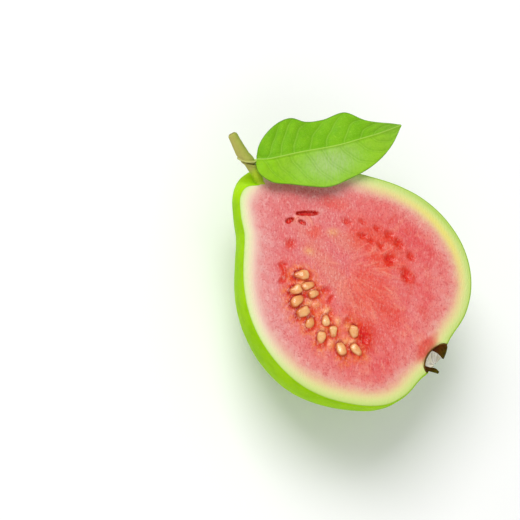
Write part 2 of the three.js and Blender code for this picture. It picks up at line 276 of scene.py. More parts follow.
def unit(vectors):
    """The same directions at length 1."""
    return vectors / np.maximum(np.linalg.norm(vectors, axis=-1, keepdims=True), 1e-9)


def outward(points):
    """Unit normals of a skin grid that point out of the fruit, evened over neighbours."""
    around = np.roll(points, -1, 0) - np.roll(points, 1, 0)
    normal = unit(np.cross(around, np.gradient(points, axis=1)))
    for _ in range(NORMAL_PASSES):
        rows = np.pad(normal, ((0, 0), (1, 1), (0, 0)), mode="edge")
        normal = 2 * normal + rows[:, :-2] + rows[:, 2:] + np.roll(normal, 1, 0) + np.roll(normal, -1, 0)
        normal = unit(normal)
    return normal * np.sign(np.sum(normal * (points - np.array([0, 0, CUT - 8]))))


# Meshes

def add_object(name, data):
    """Puts an object into the scene."""
    made = bpy.data.objects.new(name, data)
    bpy.context.scene.collection.objects.link(made)
    return made


def new_piece(name, points, faces, material, replaces, fields):
    """Makes a piece from points in millimetres, lists of faces and numbers at its points, puts it under
    the body's empty and hides the solids that it replaces."""
    mesh = bpy.data.meshes.new(name)
    mesh.from_pydata((np.asarray(points) * MM).tolist(), [], [f for part in faces for f in part.tolist()])
    mesh.polygons.foreach_set("use_smooth", np.ones(len(mesh.polygons), bool))
    mesh.materials.append(material)
    for field, values in fields.items():
        attribute = mesh.attributes.new(field, "FLOAT", "POINT")
        attribute.data.foreach_set("value", np.asarray(values, np.float32).ravel())
    mesh.validate()
    mesh.update()
    piece = add_object(name, mesh)
    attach(piece, BODY)
    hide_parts(*replaces)
    return piece


def ended(values, ends=(0, 0)):
    """A grid of numbers in a row, and those of the points that close its ends."""
    return np.concatenate([np.ravel(values), ends])


def wrap_quads(rows, columns, first=0):
    """Quads between rows of points that wrap round, each row listed in turn."""
    row, column = np.meshgrid(np.arange(rows - 1), np.arange(columns), indexing="ij")
    a = first + row * columns + column
    b = first + row * columns + (column + 1) % columns
    return np.stack([a, b, b + columns, a + columns], -1).reshape(-1, 4)


def sheet_quads(rows, columns, first=0):
    """Quads of an open grid of rows and columns of points."""
    row, column = np.meshgrid(np.arange(rows - 1), np.arange(columns - 1), indexing="ij")
    a = first + row * columns + column
    return np.stack([a, a + 1, a + 1 + columns, a + columns], -1).reshape(-1, 4)


def border(number):
    """The corners round the edge of a grid of point numbers."""
    return np.concatenate([number[0, :-1], number[:-1, -1], number[-1, :0:-1], number[:0:-1, 0]])


def shell_faces(rows, columns):
    """Faces of two grids of points, an upper and a lower, and of the edge that joins them."""
    size = rows * columns
    edge = border(np.arange(size).reshape(rows, columns))
    following = np.roll(edge, -1)
    return [
        sheet_quads(rows, columns)[:, ::-1],
        sheet_quads(rows, columns, size),
        np.stack([edge, following, following + size, edge + size], -1),
    ]


def fan(centre, ring):
    """Triangles from one point to a closed ring of points."""
    return np.stack([np.full(len(ring), centre), ring, np.roll(ring, -1)], -1)


def tube(line, rows, sides, radius_at):
    """Closed tube: a ring of points round a smooth line at each row, radius_at(share, angle) from it,
    and a point at each end."""
    share = np.linspace(0, 1, rows)
    centre = smooth_line(line, share)
    tangent = np.gradient(centre, axis=0)
    tangent /= np.linalg.norm(tangent, axis=1, keepdims=True)
    side = np.cross(tangent, [0, 0, 1])
    side /= np.linalg.norm(side, axis=1, keepdims=True)
    up = np.cross(side, tangent)
    angle = np.linspace(0, 2 * np.pi, sides, endpoint=False)
    s, a = np.meshgrid(share, angle, indexing="ij")
    radius = radius_at(s, a)[..., None]
    spoke = np.cos(a)[..., None] * side[:, None] + np.sin(a)[..., None] * up[:, None]
    ring = centre[:, None] + radius * spoke
    points = np.concatenate([ring.reshape(-1, 3), centre[:1], centre[-1:]])
    last = rows * sides
    faces = [
        wrap_quads(rows, sides)[:, ::-1],
        fan(last, np.arange(sides)),
        fan(last + 1, np.arange(sides)[::-1] + (rows - 1) * sides),
    ]
    return points, faces, s, a


def smooth_line(points, share):
    """Smooth curve through points, evenly by length: cubic pieces with slopes from the neighbours."""
    points = np.asarray(points, float)
    chord = np.concatenate([[0], np.cumsum(np.linalg.norm(np.diff(points, axis=0), axis=1))])
    slope = np.gradient(points, chord, axis=0)
    at = np.asarray(share) * chord[-1]
    k = np.clip(np.searchsorted(chord, at, side="right") - 1, 0, len(points) - 2)
    step = (chord[k + 1] - chord[k])[..., None]
    t = ((at - chord[k]) / (chord[k + 1] - chord[k]))[..., None]
    return cubic(t, step, points[k], points[k + 1], slope[k], slope[k + 1])


# Cut face

FLESH_CELLS = 286
FLESH_INSET = 0.2
SKIRT_ROWS = 14
BOWL_GAP = 0.85
STREAK_CENTRE = (-3.0, 0.5)
FAN_SIDE = math.radians(18)
PULP_CENTRE = np.reshape((-2.5, 0.5), (2, 1, 1))
PULP_RADII = np.reshape((29.0, 24.5), (2, 1, 1))
ARCH_CENTRE = (-22.6, 0.6)
IMAGE_UP = (-0.673, 0.74)
FIBRES = 64
FACE_DROP = 0.06
PULP_DROP = 0.30
FAINT_SEEDS = np.array([[-14.0, 6.4, 60], [-15.2, -4.4, 30]])
FAINT_SIZE = (4.0, 2.8)
FAINT_RISE = 0.16

# Random fields over the cut: height, size and seed
EDGE_WANDER = ((0.22, 3.1, 91), (0.14, 1.3, 92))
SWELLING = ((0.10, 5, 5), (0.06, 2.1, 6))
GRAININESS = ((0.05, 1.1, 7), (0.04, 0.65, 8))

# Turns in degrees between which the rim's mint goes over to yellow, and the golden band: its middle
# and spread in degrees, and in millimetres in from the rim
YELLOW_TURNS = ((250, 300), (150, 110))
GOLDEN_TURN = (72, 26)
GOLDEN_DEPTH = (3.7, 1.3)

# Seeds that lie just under the pulp: place and turn in degrees
BURIED_SEEDS = np.array([
    [2.2, -14.9, 100], [-1.3, -15.7, 60], [7.2, -14.4, 120], [13.5, -17.3, 60],
    [-3.6, -17.2, 60], [-9.4, -14.3, 50], [5.5, -20.1, 100], [10.7, -13.1, 140],
    [-5.5, -13.5, 60], [10.7, -21.7, 120], [14.9, -15.8, 90],
])
BURIED_SIZE = (3.4, 2.3)
BURIED_RISE = 0.42

# Soft patches of colour on the cut: place, turn in degrees, length, width and strength
PATCHES = {
    "orange": np.array([
        [-0.4, 14.9, 7, 27.2, 13.6, 0.75], [10.1, 0.6, -13, 27.2, 15.9, 0.7],
        [12.8, -11.1, -43, 14.7, 12.5, 0.6], [-1.3, -16.6, -13, 35.1, 11.5, 0.75],
        [-20.1, 14.2, 37, 10.2, 5.7, 0.5], [3.8, 11.9, 7, 12.5, 10.2, 0.8],
        [-18.2, 1.9, 47, 5.7, 5.1, 0.6],
    ]),
    "crimson": np.array([
        [8.0, 25.8, -5, 30.6, 9.1, 0.8], [-12.6, 23.3, 25, 19.3, 6.8, 0.7],
        [21.7, 14.7, -63, 13.6, 6.8, 0.6], [22.0, 1.2, -78, 14.7, 9.1, 0.6],
        [27.1, -16.7, -118, 14.7, 9.1, 0.7], [22.1, -20.4, 47, 13.6, 6.8, 0.4],
        [-14.6, -16.3, -33, 12.5, 4.5, 0.35],
    ]),
    "pale": np.array([
        [-9.1, -26.5, -16, 29.5, 6.8, 0.7], [-28.6, -12.0, -41, 29.5, 5.7, 0.5],
        [22.7, 20.8, -38, 17.0, 5.7, 0.6], [23.0, 7.9, -63, 12.5, 4.5, 0.5],
        [-21.7, 8.2, 82, 7.9, 2.5, 0.9], [0.3, 31.8, -1, 13.6, 4.5, 0.3],
        [-20.1, 17.6, 32, 11.3, 3.4, 0.4], [-24.0, 1.4, 27, 11.3, 5.7, 0.4],
    ]),
    "salmon": np.array([
        [-4.5, -3.8, -9, 37.4, 7.9, 0.8], [-8.2, 7.9, 27, 14.7, 7.9, 0.7],
        [-14.8, -0.2, -23, 12.5, 7.9, 0.4],
    ]),
    "deep": np.array([
        [16.9, -11.0, -33, 12.5, 7.0, 1.0], [1.9, 20.2, 5, 11.3, 3.9, 0.7],
        [5.7, 13.7, -13, 5.4, 4.1, 0.9], [13.9, 14.6, 47, 5.7, 5.0, 0.95],
        [34.0, 1.0, 97, 11.5, 5.0, 0.7], [-21.1, -7.1, 107, 5.0, 4.1, 0.8],
        [-16.7, -15.4, -33, 6.8, 2.5, 0.8],
    ]),
}


def oval_distance(x, y, places, length, width, power=2.0):
    """For each oval of a list of places and turns, how far each point is from its centre, 1 at its edge.
    A power over 2 squares its ends."""
    turn = np.radians(places[:, 2])
    dx = x[..., None] - places[:, 0]
    dy = y[..., None] - places[:, 1]
    along = dx * np.cos(turn) + dy * np.sin(turn)
    across = -dx * np.sin(turn) + dy * np.cos(turn)
    return (np.abs(along / (length / 2)) ** power + np.abs(across / (width / 2)) ** power) ** (1 / power)


def patches(x, y, table, wander):
    """Cover of a table of soft patches: each fades out round its oval, whose edge wanders."""
    far = oval_distance(x, y, table, table[:, 3], table[:, 4]) + wander[..., None]
    return (table[:, 5] * smooth(1.35, 0.35, far)).max(-1)


def streak_field(x, y, count, seed):
    """Pale fibres fanning out from the middle, mostly to one side: each is a narrow bell across a
    slightly bent ray."""
    draw = np.random.default_rng(seed)
    field = np.zeros_like(x)
    dx, dy = x - STREAK_CENTRE[0], y - STREAK_CENTRE[1]
    for index in range(count):
        turn = FAN_SIDE + math.radians(draw.uniform(-75, 75) if index % 5 else draw.uniform(-180, 180))
        start, length = draw.uniform(1, 15), draw.uniform(3, 10)
        width, bend = draw.uniform(0.18, 0.42), draw.uniform(-0.03, 0.03)
        side = draw.uniform(-2.5, 2.5)
        along = dx * math.cos(turn) + dy * math.sin(turn)
        across = -dx * math.sin(turn) + dy * math.cos(turn) - side - bend * along**2 / 2
        ends = smooth(start - 1.5, start + 1.5, along) * smooth(start + length, start + length - 4, along)
        field = np.maximum(field, draw.uniform(0.4, 1) * bell(across, 0, width) * ends)
    return field


def cut_fields(x, y):
    """Height of the cut face against the cut plane, and masks for its colours. Pulp lies lower than
    flesh and climbs the seeds in lumps, sockets are hollows, fibres and grain stand up a little."""
    theta = np.arctan2(y, x)
    rim = outline(theta)
    slope = (outline(theta + 0.02) - outline(theta - 0.02)) / 0.04 / rim
    edge = (rim - np.hypot(x, y)) / np.sqrt(1 + slope**2)
    bent_x = x + 1.6 * flat_noise(x, y, 7, 3)
    bent_y = y + 1.6 * flat_noise(x, y, 7, 4)
    bent = (np.stack([bent_x, bent_y]) - PULP_CENTRE) / PULP_RADII
    pulp = smooth(1.12, 0.8, np.hypot(*bent))
    inner = smooth(2, 7, edge)
    wander = flat_layered(x, y, EDGE_WANDER)
    seed = oval_distance(x, y, SEEDS, SEED_SIZE[0] * SEEDS[:, 3], SEED_SIZE[1] * SEEDS[:, 3])
    by_kind = lambda slit, other: np.where(np.arange(len(SOCKETS)) < SLITS, slit, other)
    length, width = (SOCKETS[:, 3:5] * by_kind(1.0, 1.3)[:, None]).T
    socket = oval_distance(x, y, SOCKETS, length, width, by_kind(2.3, 2.0))
    near_seed = seed.min(-1)
    bed = smooth(3.2, 1.1, near_seed + wander)
    streak = streak_field(x, y, FIBRES, 11) * pulp
    radius = np.hypot(x - STREAK_CENTRE[0], y - STREAK_CENTRE[1])
    around = np.arctan2(y - STREAK_CENTRE[1], x - STREAK_CENTRE[0])
    fan = smooth(-0.3, 0.6, np.cos(around - FAN_SIDE))
    ray_place = np.stack([np.cos(around) * 9, np.sin(around) * 9, radius / 6], -1)
    ray = noise(ray_place, 1.0, 21) * 0.5 + noise(ray_place * 2.3, 1.0, 22) * 0.5
    ray = ray * smooth(1.0, 6, radius) * (0.25 + 0.75 * fan)
    beads = 0.5 + 0.5 * flat_noise(x, y, 1.15, 31)
    fine_beads = 0.5 + 0.5 * flat_noise(x, y, 0.7, 32)

    z = -FACE_DROP - PULP_DROP * pulp
    z = z + inner * flat_layered(x, y, SWELLING)
    z = z + (0.25 + 0.75 * inner) * flat_layered(x, y, GRAININESS)
    z = z + pulp * (0.09 * ray + 0.14 * streak)
    climb = smooth(1.7, 0.95, seed + 0.5 * (beads[..., None] - 0.5)).max(-1)
    z = z + bed * (0.42 * (beads - 0.5) + 0.22 * (fine_beads - 0.5) - 0.12) + 0.34 * climb
    uneven = socket + by_kind(0.8, 0.9) * wander[..., None]
    hollow = smooth(1.15, by_kind(0.8, 0.1), uneven)
    z = z + (0.10 * bell(uneven, 1.3, 0.22)).max(-1)
    z = z - (by_kind(0.8, 0.5) * SOCKETS[:, 5] * hollow).max(-1)
    arch = np.hypot(x - ARCH_CENTRE[0], y - ARCH_CENTRE[1])
    above = (x - ARCH_CENTRE[0]) * IMAGE_UP[0] + (y - ARCH_CENTRE[1]) * IMAGE_UP[1]
    arch = (bell(arch, 3.3, 0.4) + 0.6 * bell(arch, 2.3, 0.3)) * smooth(-0.8, 1.6, above)
    z = z + 0.3 * arch
    faint = bell(oval_distance(x, y, FAINT_SEEDS, *FAINT_SIZE), 0, 0.9).max(-1)
    buried = bell(oval_distance(x, y, BURIED_SEEDS, *BURIED_SIZE), 0, 0.85).max(-1)
    buried = buried * smooth(0.9, 1.25, near_seed)
    z = z + FAINT_RISE * faint + BURIED_RISE * buried
    lip = smooth(0.0, 0.7, edge)
    z = z * lip - 0.05 * (1 - lip)
    z = z - 0.5 * smooth(1.6, 0.0, crater_reach(theta, np.zeros_like(theta)) - np.hypot(x, y))

    red = (by_kind(1.0, 0.82) * smooth(1.4, by_kind(0.95, 0.3), uneven)).max(-1)
    red = np.maximum(red, 0.8 * smooth(1.9, 1.2, near_seed + 1.6 * wander))
    nearest = SEEDS[seed.argmin(-1)]
    # Painted shade: a dark ring in the pulp round each seed, on its side towards -x
    shady = (nearest[..., 0] - x) / (0.01 + np.hypot(nearest[..., 0] - x, nearest[..., 1] - y))
    pocket = bell(near_seed, 1.08, 0.28) * smooth(-0.7, 0.5, shady)
    # Darker rims round the slits, patchy with the beads
    slit_rim_dark = 0.7 * bell(uneven[..., :SLITS], 0.95, 0.3).max(-1) * (0.4 + 0.6 * beads)
    turned = np.degrees(theta) % 360
    yellow = sum(smooth(low, high, turned) for low, high in YELLOW_TURNS)
    fields = {
        "rim": edge + 0.6 * inner * flat_noise(x, y, 4, 93) - bell(turned, 80, 28) * smooth(0.2, 1.2, edge),
        "yellow": np.clip(yellow, 0, 1),
        "red": red,
        "bed": bed * smooth(-0.2, 0.4, fine_beads - 0.3),
        "fibre": np.maximum(0.56 * streak, np.clip(arch, 0, 1)),
        "ray": 0.5 + 0.5 * ray,
        # dark: painted shade round the seeds, and the darker rims of the slits
        "dark": np.maximum(pocket, slit_rim_dark),
        "golden": bell(turned, *GOLDEN_TURN) * bell(edge, *GOLDEN_DEPTH),
        "faint": faint,
        "buried": buried,
    }
    fields.update((name, patches(x, y, table, wander)) for name, table in PATCHES.items())
    return z, fields


def disc_grid(cells):
    """Corners of a square of cells carried onto a disc: each corner's angle and share of the way out."""
    line = np.linspace(-1, 1, cells + 1)
    a, b = np.meshgrid(line, line)
    wide = np.abs(a) > np.abs(b)
    long_side, short_side = np.where(wide, a, b), np.where(wide, b, a)
    ratio = short_side / np.where(long_side == 0, 1, long_side)
    theta = np.where(wide, np.pi / 4 * ratio, np.pi / 2 - np.pi / 4 * ratio)
    return theta + np.where(long_side < 0, np.pi, 0), np.abs(long_side)


def make_flesh(material):
    """Flesh: the cut face on a disc grid, with a plain bowl inside the skin that closes it below."""
    theta, share = disc_grid(FLESH_CELLS)
    rim = np.linalg.norm(skin_points(theta, 1.0)[..., :2], axis=-1) - FLESH_INSET
    x, y = rim * share * np.cos(theta), rim * share * np.sin(theta)
    z, fields = cut_fields(x, y)
    top = np.stack([x, y, CUT + z], -1).reshape(-1, 3)
    side = FLESH_CELLS + 1
    edge = border(np.arange(side * side).reshape(side, side))
    angle = np.arctan2(top[edge, 1], top[edge, 0]) % (2 * np.pi)
    first_turn = -int(np.argmin(angle))
    edge, angle = np.roll(edge, first_turn), np.roll(angle, first_turn)
    bowl = skin_grid(angle, np.linspace(0.985, 0.06, SKIRT_ROWS))
    bowl = bowl - BOWL_GAP * outward(bowl)
    bowl[..., 2] = np.maximum(bowl[..., 2], BOWL_GAP)
    rows = bowl.transpose(1, 0, 2).reshape(-1, 3)
    first = len(top)
    count = len(edge)
    foot = first + SKIRT_ROWS * count
    points = np.concatenate([top, rows, [[0, 0, BOWL_GAP]]])
    ring = first + np.arange(count)
    collar = np.stack([edge, ring, np.roll(ring, -1), np.roll(edge, -1)], -1)
    faces = [
        sheet_quads(side, side),
        collar,
        wrap_quads(SKIRT_ROWS, count, first)[:, ::-1],
        fan(foot, (ring + (SKIRT_ROWS - 1) * count)[::-1]),
    ]
    rest = np.zeros(len(points) - len(top))
    fields = {name: ended(values, rest) for name, values in fields.items()}
    fields["rim"][len(top):] = 1.0
    return new_piece("flesh", points, faces, material, ["guava_half"], fields)


# Skin

SKIN_SIDES = 640
SKIN_ROWS = 104
SKIN_WALL = 0.26
INNER_ROWS = 9
INNER_FOOT = 0.8
LIP_ROWS = 4
LIP_DROP = 0.14
LIP_ROLL = 0.15
SKIN_DROP = 0.28
EVEN_PASSES = 14

# Pebbles and soft swells of the skin: height, size and seed
PEBBLES = ((0.045, 1.5, 41), (0.03, 0.85, 42))
SOFT_SWELLS = ((0.16, 11, 43), (0.07, 4.5, 44))


def make_skin(material):
    """Skin: a thin shell. The outside is the fruit's form with fine pebbles and soft swells pressed
    into it, the lip rolls over at the cut, and the inside is the outside moved in by the wall."""
    angle = np.linspace(0, 2 * np.pi, SKIN_SIDES, endpoint=False)
    shares = np.linspace(1, 0.02, SKIN_ROWS)
    form = skin_grid(angle, shares)
    normal = outward(form)
    fade = smooth(1, 0.93, shares)
    depth = SKIN_DROP + layered(form, PEBBLES + SOFT_SWELLS) * (0.3 + 0.7 * fade)
    outer = form - normal * (depth * fade)[..., None]
    even = outer.copy()
    for _ in range(EVEN_PASSES):
        even[:, 4:-1] = (even[:, 3:-2] + 2 * even[:, 4:-1] + even[:, 5:]) / 4
    clear = smooth(6.9, 8.6, np.abs(outer[..., 1] - CRATER_CENTRE[1])) + smooth(0, -1, outer[..., 0])
    outer += np.clip(clear, 0, 1)[..., None] * (even - outer)
    outer[..., 2] = np.maximum(outer[..., 2], 0)
    inner = form - normal * (SKIN_WALL + 0.6 * fade)[..., None]
    inner[..., 2] = np.maximum(inner[..., 2], INNER_FOOT)
    inner_pick = np.linspace(2, SKIN_ROWS - 1, INNER_ROWS).astype(int)
    roll = np.linspace(0, 1, LIP_ROWS + 2)[1:-1]
    flat = normal[:, 0] * np.array([1, 1, 0])
    flat /= np.linalg.norm(flat, axis=-1, keepdims=True)
    start = outer[:, 0].copy()
    start[:, 2] = CUT - LIP_DROP
    outer[:, 0] = start
    lip = start[None] - flat[None] * (SKIN_WALL * roll)[:, None, None]
    lip[..., 2] = CUT - LIP_DROP + (LIP_ROLL * np.sin(np.pi * roll ** 0.8))[:, None]
    rows = np.concatenate([outer.swapaxes(0, 1)[::-1], lip, inner.swapaxes(0, 1)[inner_pick]])
    total = len(rows)
    points = np.concatenate([rows.reshape(-1, 3), [[0, 0, 0], [0, 0, INNER_FOOT]]])
    foot = total * SKIN_SIDES
    ring = np.arange(SKIN_SIDES)
    faces = [
        wrap_quads(total, SKIN_SIDES),
        fan(foot, ring[::-1]),
        fan(foot + 1, ring + (total - 1) * SKIN_SIDES),
    ]
    cut_edge = np.zeros((total, SKIN_SIDES))
    cut_edge[SKIN_ROWS:] = 1
    reach = np.linalg.norm(rows[..., :2], axis=-1)
    dry = smooth(1.4, 0.5, crater_reach(angle[None] + 0 * reach, CUT - rows[..., 2]) - reach)
    fields = {"cut_edge": ended(cut_edge, (0, 1)), "dry": ended(dry)}
    return new_piece("skin", points, faces, material, ["guava_half"], fields)


# Seeds

SEED_ROWS = 20
SEED_SIDES = 24
SEED_SQUARENESS = 0.7
SEED_FULLNESS = 0.75
SEED_DROP = 0.26


def make_seeds(material):
    """Seeds: ovals narrower at one end, tipped and dented a little, each sunk in its pocket."""
    draw = np.random.default_rng(5)
    tall = np.linspace(0, np.pi, SEED_ROWS)[1:-1]
    angle = np.linspace(0, 2 * np.pi, SEED_SIDES, endpoint=False)
    p, a = np.meshgrid(tall, angle, indexing="ij")
    points, faces, lit_crown_over_pulp, tone = [], [], [], []
    squared = lambda wave: np.sign(wave) * np.abs(wave) ** SEED_SQUARENESS
    for x, y, turn, size in SEEDS:
        length, width, height = (half * size / 2 for half in SEED_SIZE)
        narrow = 1 - draw.uniform(0.12, 0.28) * -np.cos(p) * draw.choice([-1, 1])
        girth = np.sin(p) ** SEED_FULLNESS * narrow
        shape = np.stack([
            -np.cos(p) * length,
            girth * squared(np.cos(a)) * width,
            girth * squared(np.sin(a)) * height,
        ], -1)
        ends = np.array([[-length, 0, 0], [length, 0, 0]])
        dent = 1 + 0.14 * noise(shape + x, 1.4, 51) + 0.04 * noise(shape + y, 0.6, 52)
        seed = np.concatenate([(shape * dent[..., None]).reshape(-1, 3), ends])
        spin = Matrix.Rotation(math.radians(turn), 3, "Z")
        spin = spin @ Matrix.Rotation(math.radians(draw.uniform(-16, 16)), 3, "Y")
        spin = spin @ Matrix.Rotation(math.radians(draw.uniform(-12, 12)), 3, "X")
        seed = seed @ np.array(spin).T
        seed = seed + [x, y, CUT - SEED_DROP + draw.uniform(-0.12, 0.12)]
        first = sum(len(part) for part in points)
        last = first + len(tall) * SEED_SIDES
        faces += [
            wrap_quads(len(tall), SEED_SIDES, first),
            fan(last, first + np.arange(SEED_SIDES))[:, ::-1],
            fan(last + 1, first + (len(tall) - 1) * SEED_SIDES + np.arange(SEED_SIDES)),
        ]
        points.append(seed)
        # 1 on each seed's top, 0 low down, where it goes orange for the pulp and for painted shade
        lit_crown_over_pulp.append(ended(smooth(0.3, 0.98, shape[..., 2] / height)))
        tone.append(np.full(len(seed), (x * 7.31 + y * 3.17) % 1.0))
    fields = {"lit_crown_over_pulp": np.concatenate(lit_crown_over_pulp), "tone": np.concatenate(tone)}
    return new_piece("seeds", np.concatenate(points), faces, material, ["guava_half"], fields)


# Stem

STEM_LINE = [
    [-59.8, 3, 4.6], [-55.5, 2, 3.7], [-51.7, 1.3, 2.7], [-48.7, 1.3, 1.6], [-45.2, 1.1, 0.3],
    [-42.2, 0.7, -1.2], [-39.6, 1.1, -2.4],
]
STEM_LENGTH = 21.5
NODE_STATION = 0.47
TWIG_RADIUS = 1.5
NODE_RADIUS = 2.35
STALK_RADIUS = 1.5
BARK = ((0.07, 0.7, 61), (0.035, 0.3, 62))


def lifted(points):
    """Places given against the cut plane, as places in the frame."""
    return np.asarray(points, float) + [0, 0, CUT]


def node_slant(share, angle):
    """How far a place lies past the node's lip, as a share of the stem. The lip bows down on top."""
    return share - NODE_STATION - 0.05 * np.sin(angle) + 0.075 * np.cos(angle)


def stem_radius(share, angle):
    """Radius: the twig widens down to a lipped ledge at the node, a thinner stalk comes out from
    under it past a dark groove, long ribs run down the twig, and the foot flares in the dimple."""
    slant = node_slant(share, angle)
    twig = smooth(0.012, -0.012, slant)
    widening = TWIG_RADIUS + (NODE_RADIUS - TWIG_RADIUS) * np.clip(share / NODE_STATION, 0, 1) ** 1.6
    base = STALK_RADIUS + (widening - STALK_RADIUS) * twig
    lip = 0.2 * bell(slant, -0.012, 0.013) - 0.16 * bell(slant, -0.045, 0.014)
    collar = 0.35 * bell(slant, 0.06, 0.03) - 0.25 * bell(slant, 0.022, 0.01)
    ribs = 0.06 * np.cos(5 * angle + 3 * share) * twig + 0.04 * np.cos(9 * angle + 11 * share)
    flare = 0.45 * smooth(0.84, 1.0, share)
    place = np.stack([np.cos(angle) * 1.5, np.sin(angle) * 1.5, share * STEM_LENGTH * 0.45], -1)
    worn = -0.5 * smooth(0.04, 0.0, share) ** 2
    return base + lip + collar + ribs + layered(place, BARK) + flare + worn


def make_stem(material):
    """Stem: a closed tube along the stem line, narrowed a little at its cut end."""
    points, faces, share, angle = tube(lifted(STEM_LINE), 190, 56, stem_radius)
    slant = node_slant(share, angle)
    fields = {
        "node_groove_band": ended(bell(slant, 0.02, 0.011)),
        # Painted shade down the twig's far side and painted light down its near side
        "shaded_side": ended(smooth(0.3, -0.9, np.cos(angle))),
        "lit_side": ended(smooth(0.3, 0.95, np.cos(angle))),
        "lip": ended(bell(slant, -0.014, 0.013)),
        "green": ended(smooth(0.56, 0.7, share), (0, 1)),
        "cut_end": ended(smooth(0.022, 0.0, share), (1, 0)),
    }
    return new_piece("stem_twig", points, faces, material, ["stem"], fields)


# Leaf

LEAF_RIB = [
    [-48.4, 3.3, 3.4], [-46, 5.6, 4.4], [-43.3, 9.8, 5], [-39.9, 15.8, 5], [-36.2, 22, 4.6],
    [-32.5, 28.4, 4.4], [-29.2, 35.2, 4.2], [-25.9, 42.3, 3.8], [-22.7, 50.6, 3],
]
LOWER_MARGIN = [
    [-48, 2.7, 3.2], [-44.8, 0.2, 4.2], [-40, 1.1, 3.8], [-34.9, 5.6, 3.6], [-29.7, 9.9, 4.2],
    [-25.1, 15.2, 3.8], [-22.3, 22.7, 3.2], [-20.2, 30.6, 3.8], [-20.1, 41.3, 3.2], [-22.7, 50.6, 3],
]
UPPER_MARGIN = [
    [-48.8, 3.9, 3.2], [-50.6, 6.1, 4.6], [-52.2, 13.5, 5.6], [-50.2, 21.5, 5.2], [-45.9, 25.3, 3.4],
    [-42.5, 30.4, 3.2], [-38.9, 37.7, 4.6], [-32.4, 41.1, 4.4], [-26.0, 47.6, 3.1], [-22.7, 50.6, 3],
]
LEAF_LENGTH = 54.0
LEAF_ROWS = 231
LEAF_COLUMNS = 97
BLADE = 0.34
BLADE_LIFT = 0.34
BLADE_HOLLOW = 0.44
PUCKER = 0.20
MARGIN_WAVE = 0.16
MIDRIB_BODY = 0.75
VEIN_STATIONS = np.array([0.04, 0.12, 0.21, 0.32, 0.425, 0.55, 0.66, 0.76, 0.85])
VEIN_GAP = 0.05
PETIOLE_LINE = [[-49.0, 1.5, 1.2], [-48.3, 2.6, 2.2], [-47.5, 3.9, 3.1], [-46.3, 5.6, 3.7]]


def side_veins(share, across):
    """Distance in millimetres to the nearest side vein, which leaves the midrib and bends to the tip,
    and where the point lies between two of them, 0 on a vein and 1 halfway."""
    wing = np.abs(across)
    shift = np.where(across < 0, 0.0, 0.028)
    start = share - shift - 0.10 * wing - 0.09 * wing**2 + 0.003 * np.sin(9 * wing + 23 * share)
    nearest = np.abs(start[..., None] - VEIN_STATIONS).min(-1)
    return nearest * LEAF_LENGTH * 0.86, np.clip(nearest / VEIN_GAP, 0, 1)


def leaf_surface(share, across):
    """Middle of the blade: from the midrib to the waved margins, hollowed across, puckered between
    the side veins, which lie in grooves beside a raised midrib."""
    lines = (LEAF_RIB, LOWER_MARGIN, UPPER_MARGIN)
    rib, lower, upper = (smooth_line(lifted(line), share[:, 0]) for line in lines)
    margin = np.where(across[..., None] < 0, lower[:, None], upper[:, None])
    wing = np.abs(across)
    middle = rib[:, None] + (margin - rib[:, None]) * wing[..., None]
    away, between = side_veins(share, across)
    half = np.linalg.norm(margin - rib[:, None], axis=-1)
    from_rib = wing * half
    body = smooth(0, 1.6, from_rib) * smooth(1.0, 0.93, wing)
    body = body * smooth(0, 0.05, share) * smooth(1, 0.93, share)
    rise = -BLADE_HOLLOW * np.sin(np.pi * wing) * np.sin(np.pi * share)
    rise = rise + body * (PUCKER * smooth(0.1, 0.9, between) - 0.10 * bell(away, 0, 0.3))
    rise = rise + 0.06 * bell(from_rib, 0, 0.3) - 0.14 * bell(from_rib, 0.9, 0.5)
    rise = rise + 0.07 * body * flat_noise(middle[..., 0], middle[..., 1], 1.5, 71)
    waves = np.sin(share * 31 + 2 * np.sign(across)) * smooth(1, 0.9, share)
    rise = rise + MARGIN_WAVE * smooth(0.5, 1, wing) * waves
    middle[..., 2] += rise
    return middle, away, from_rib


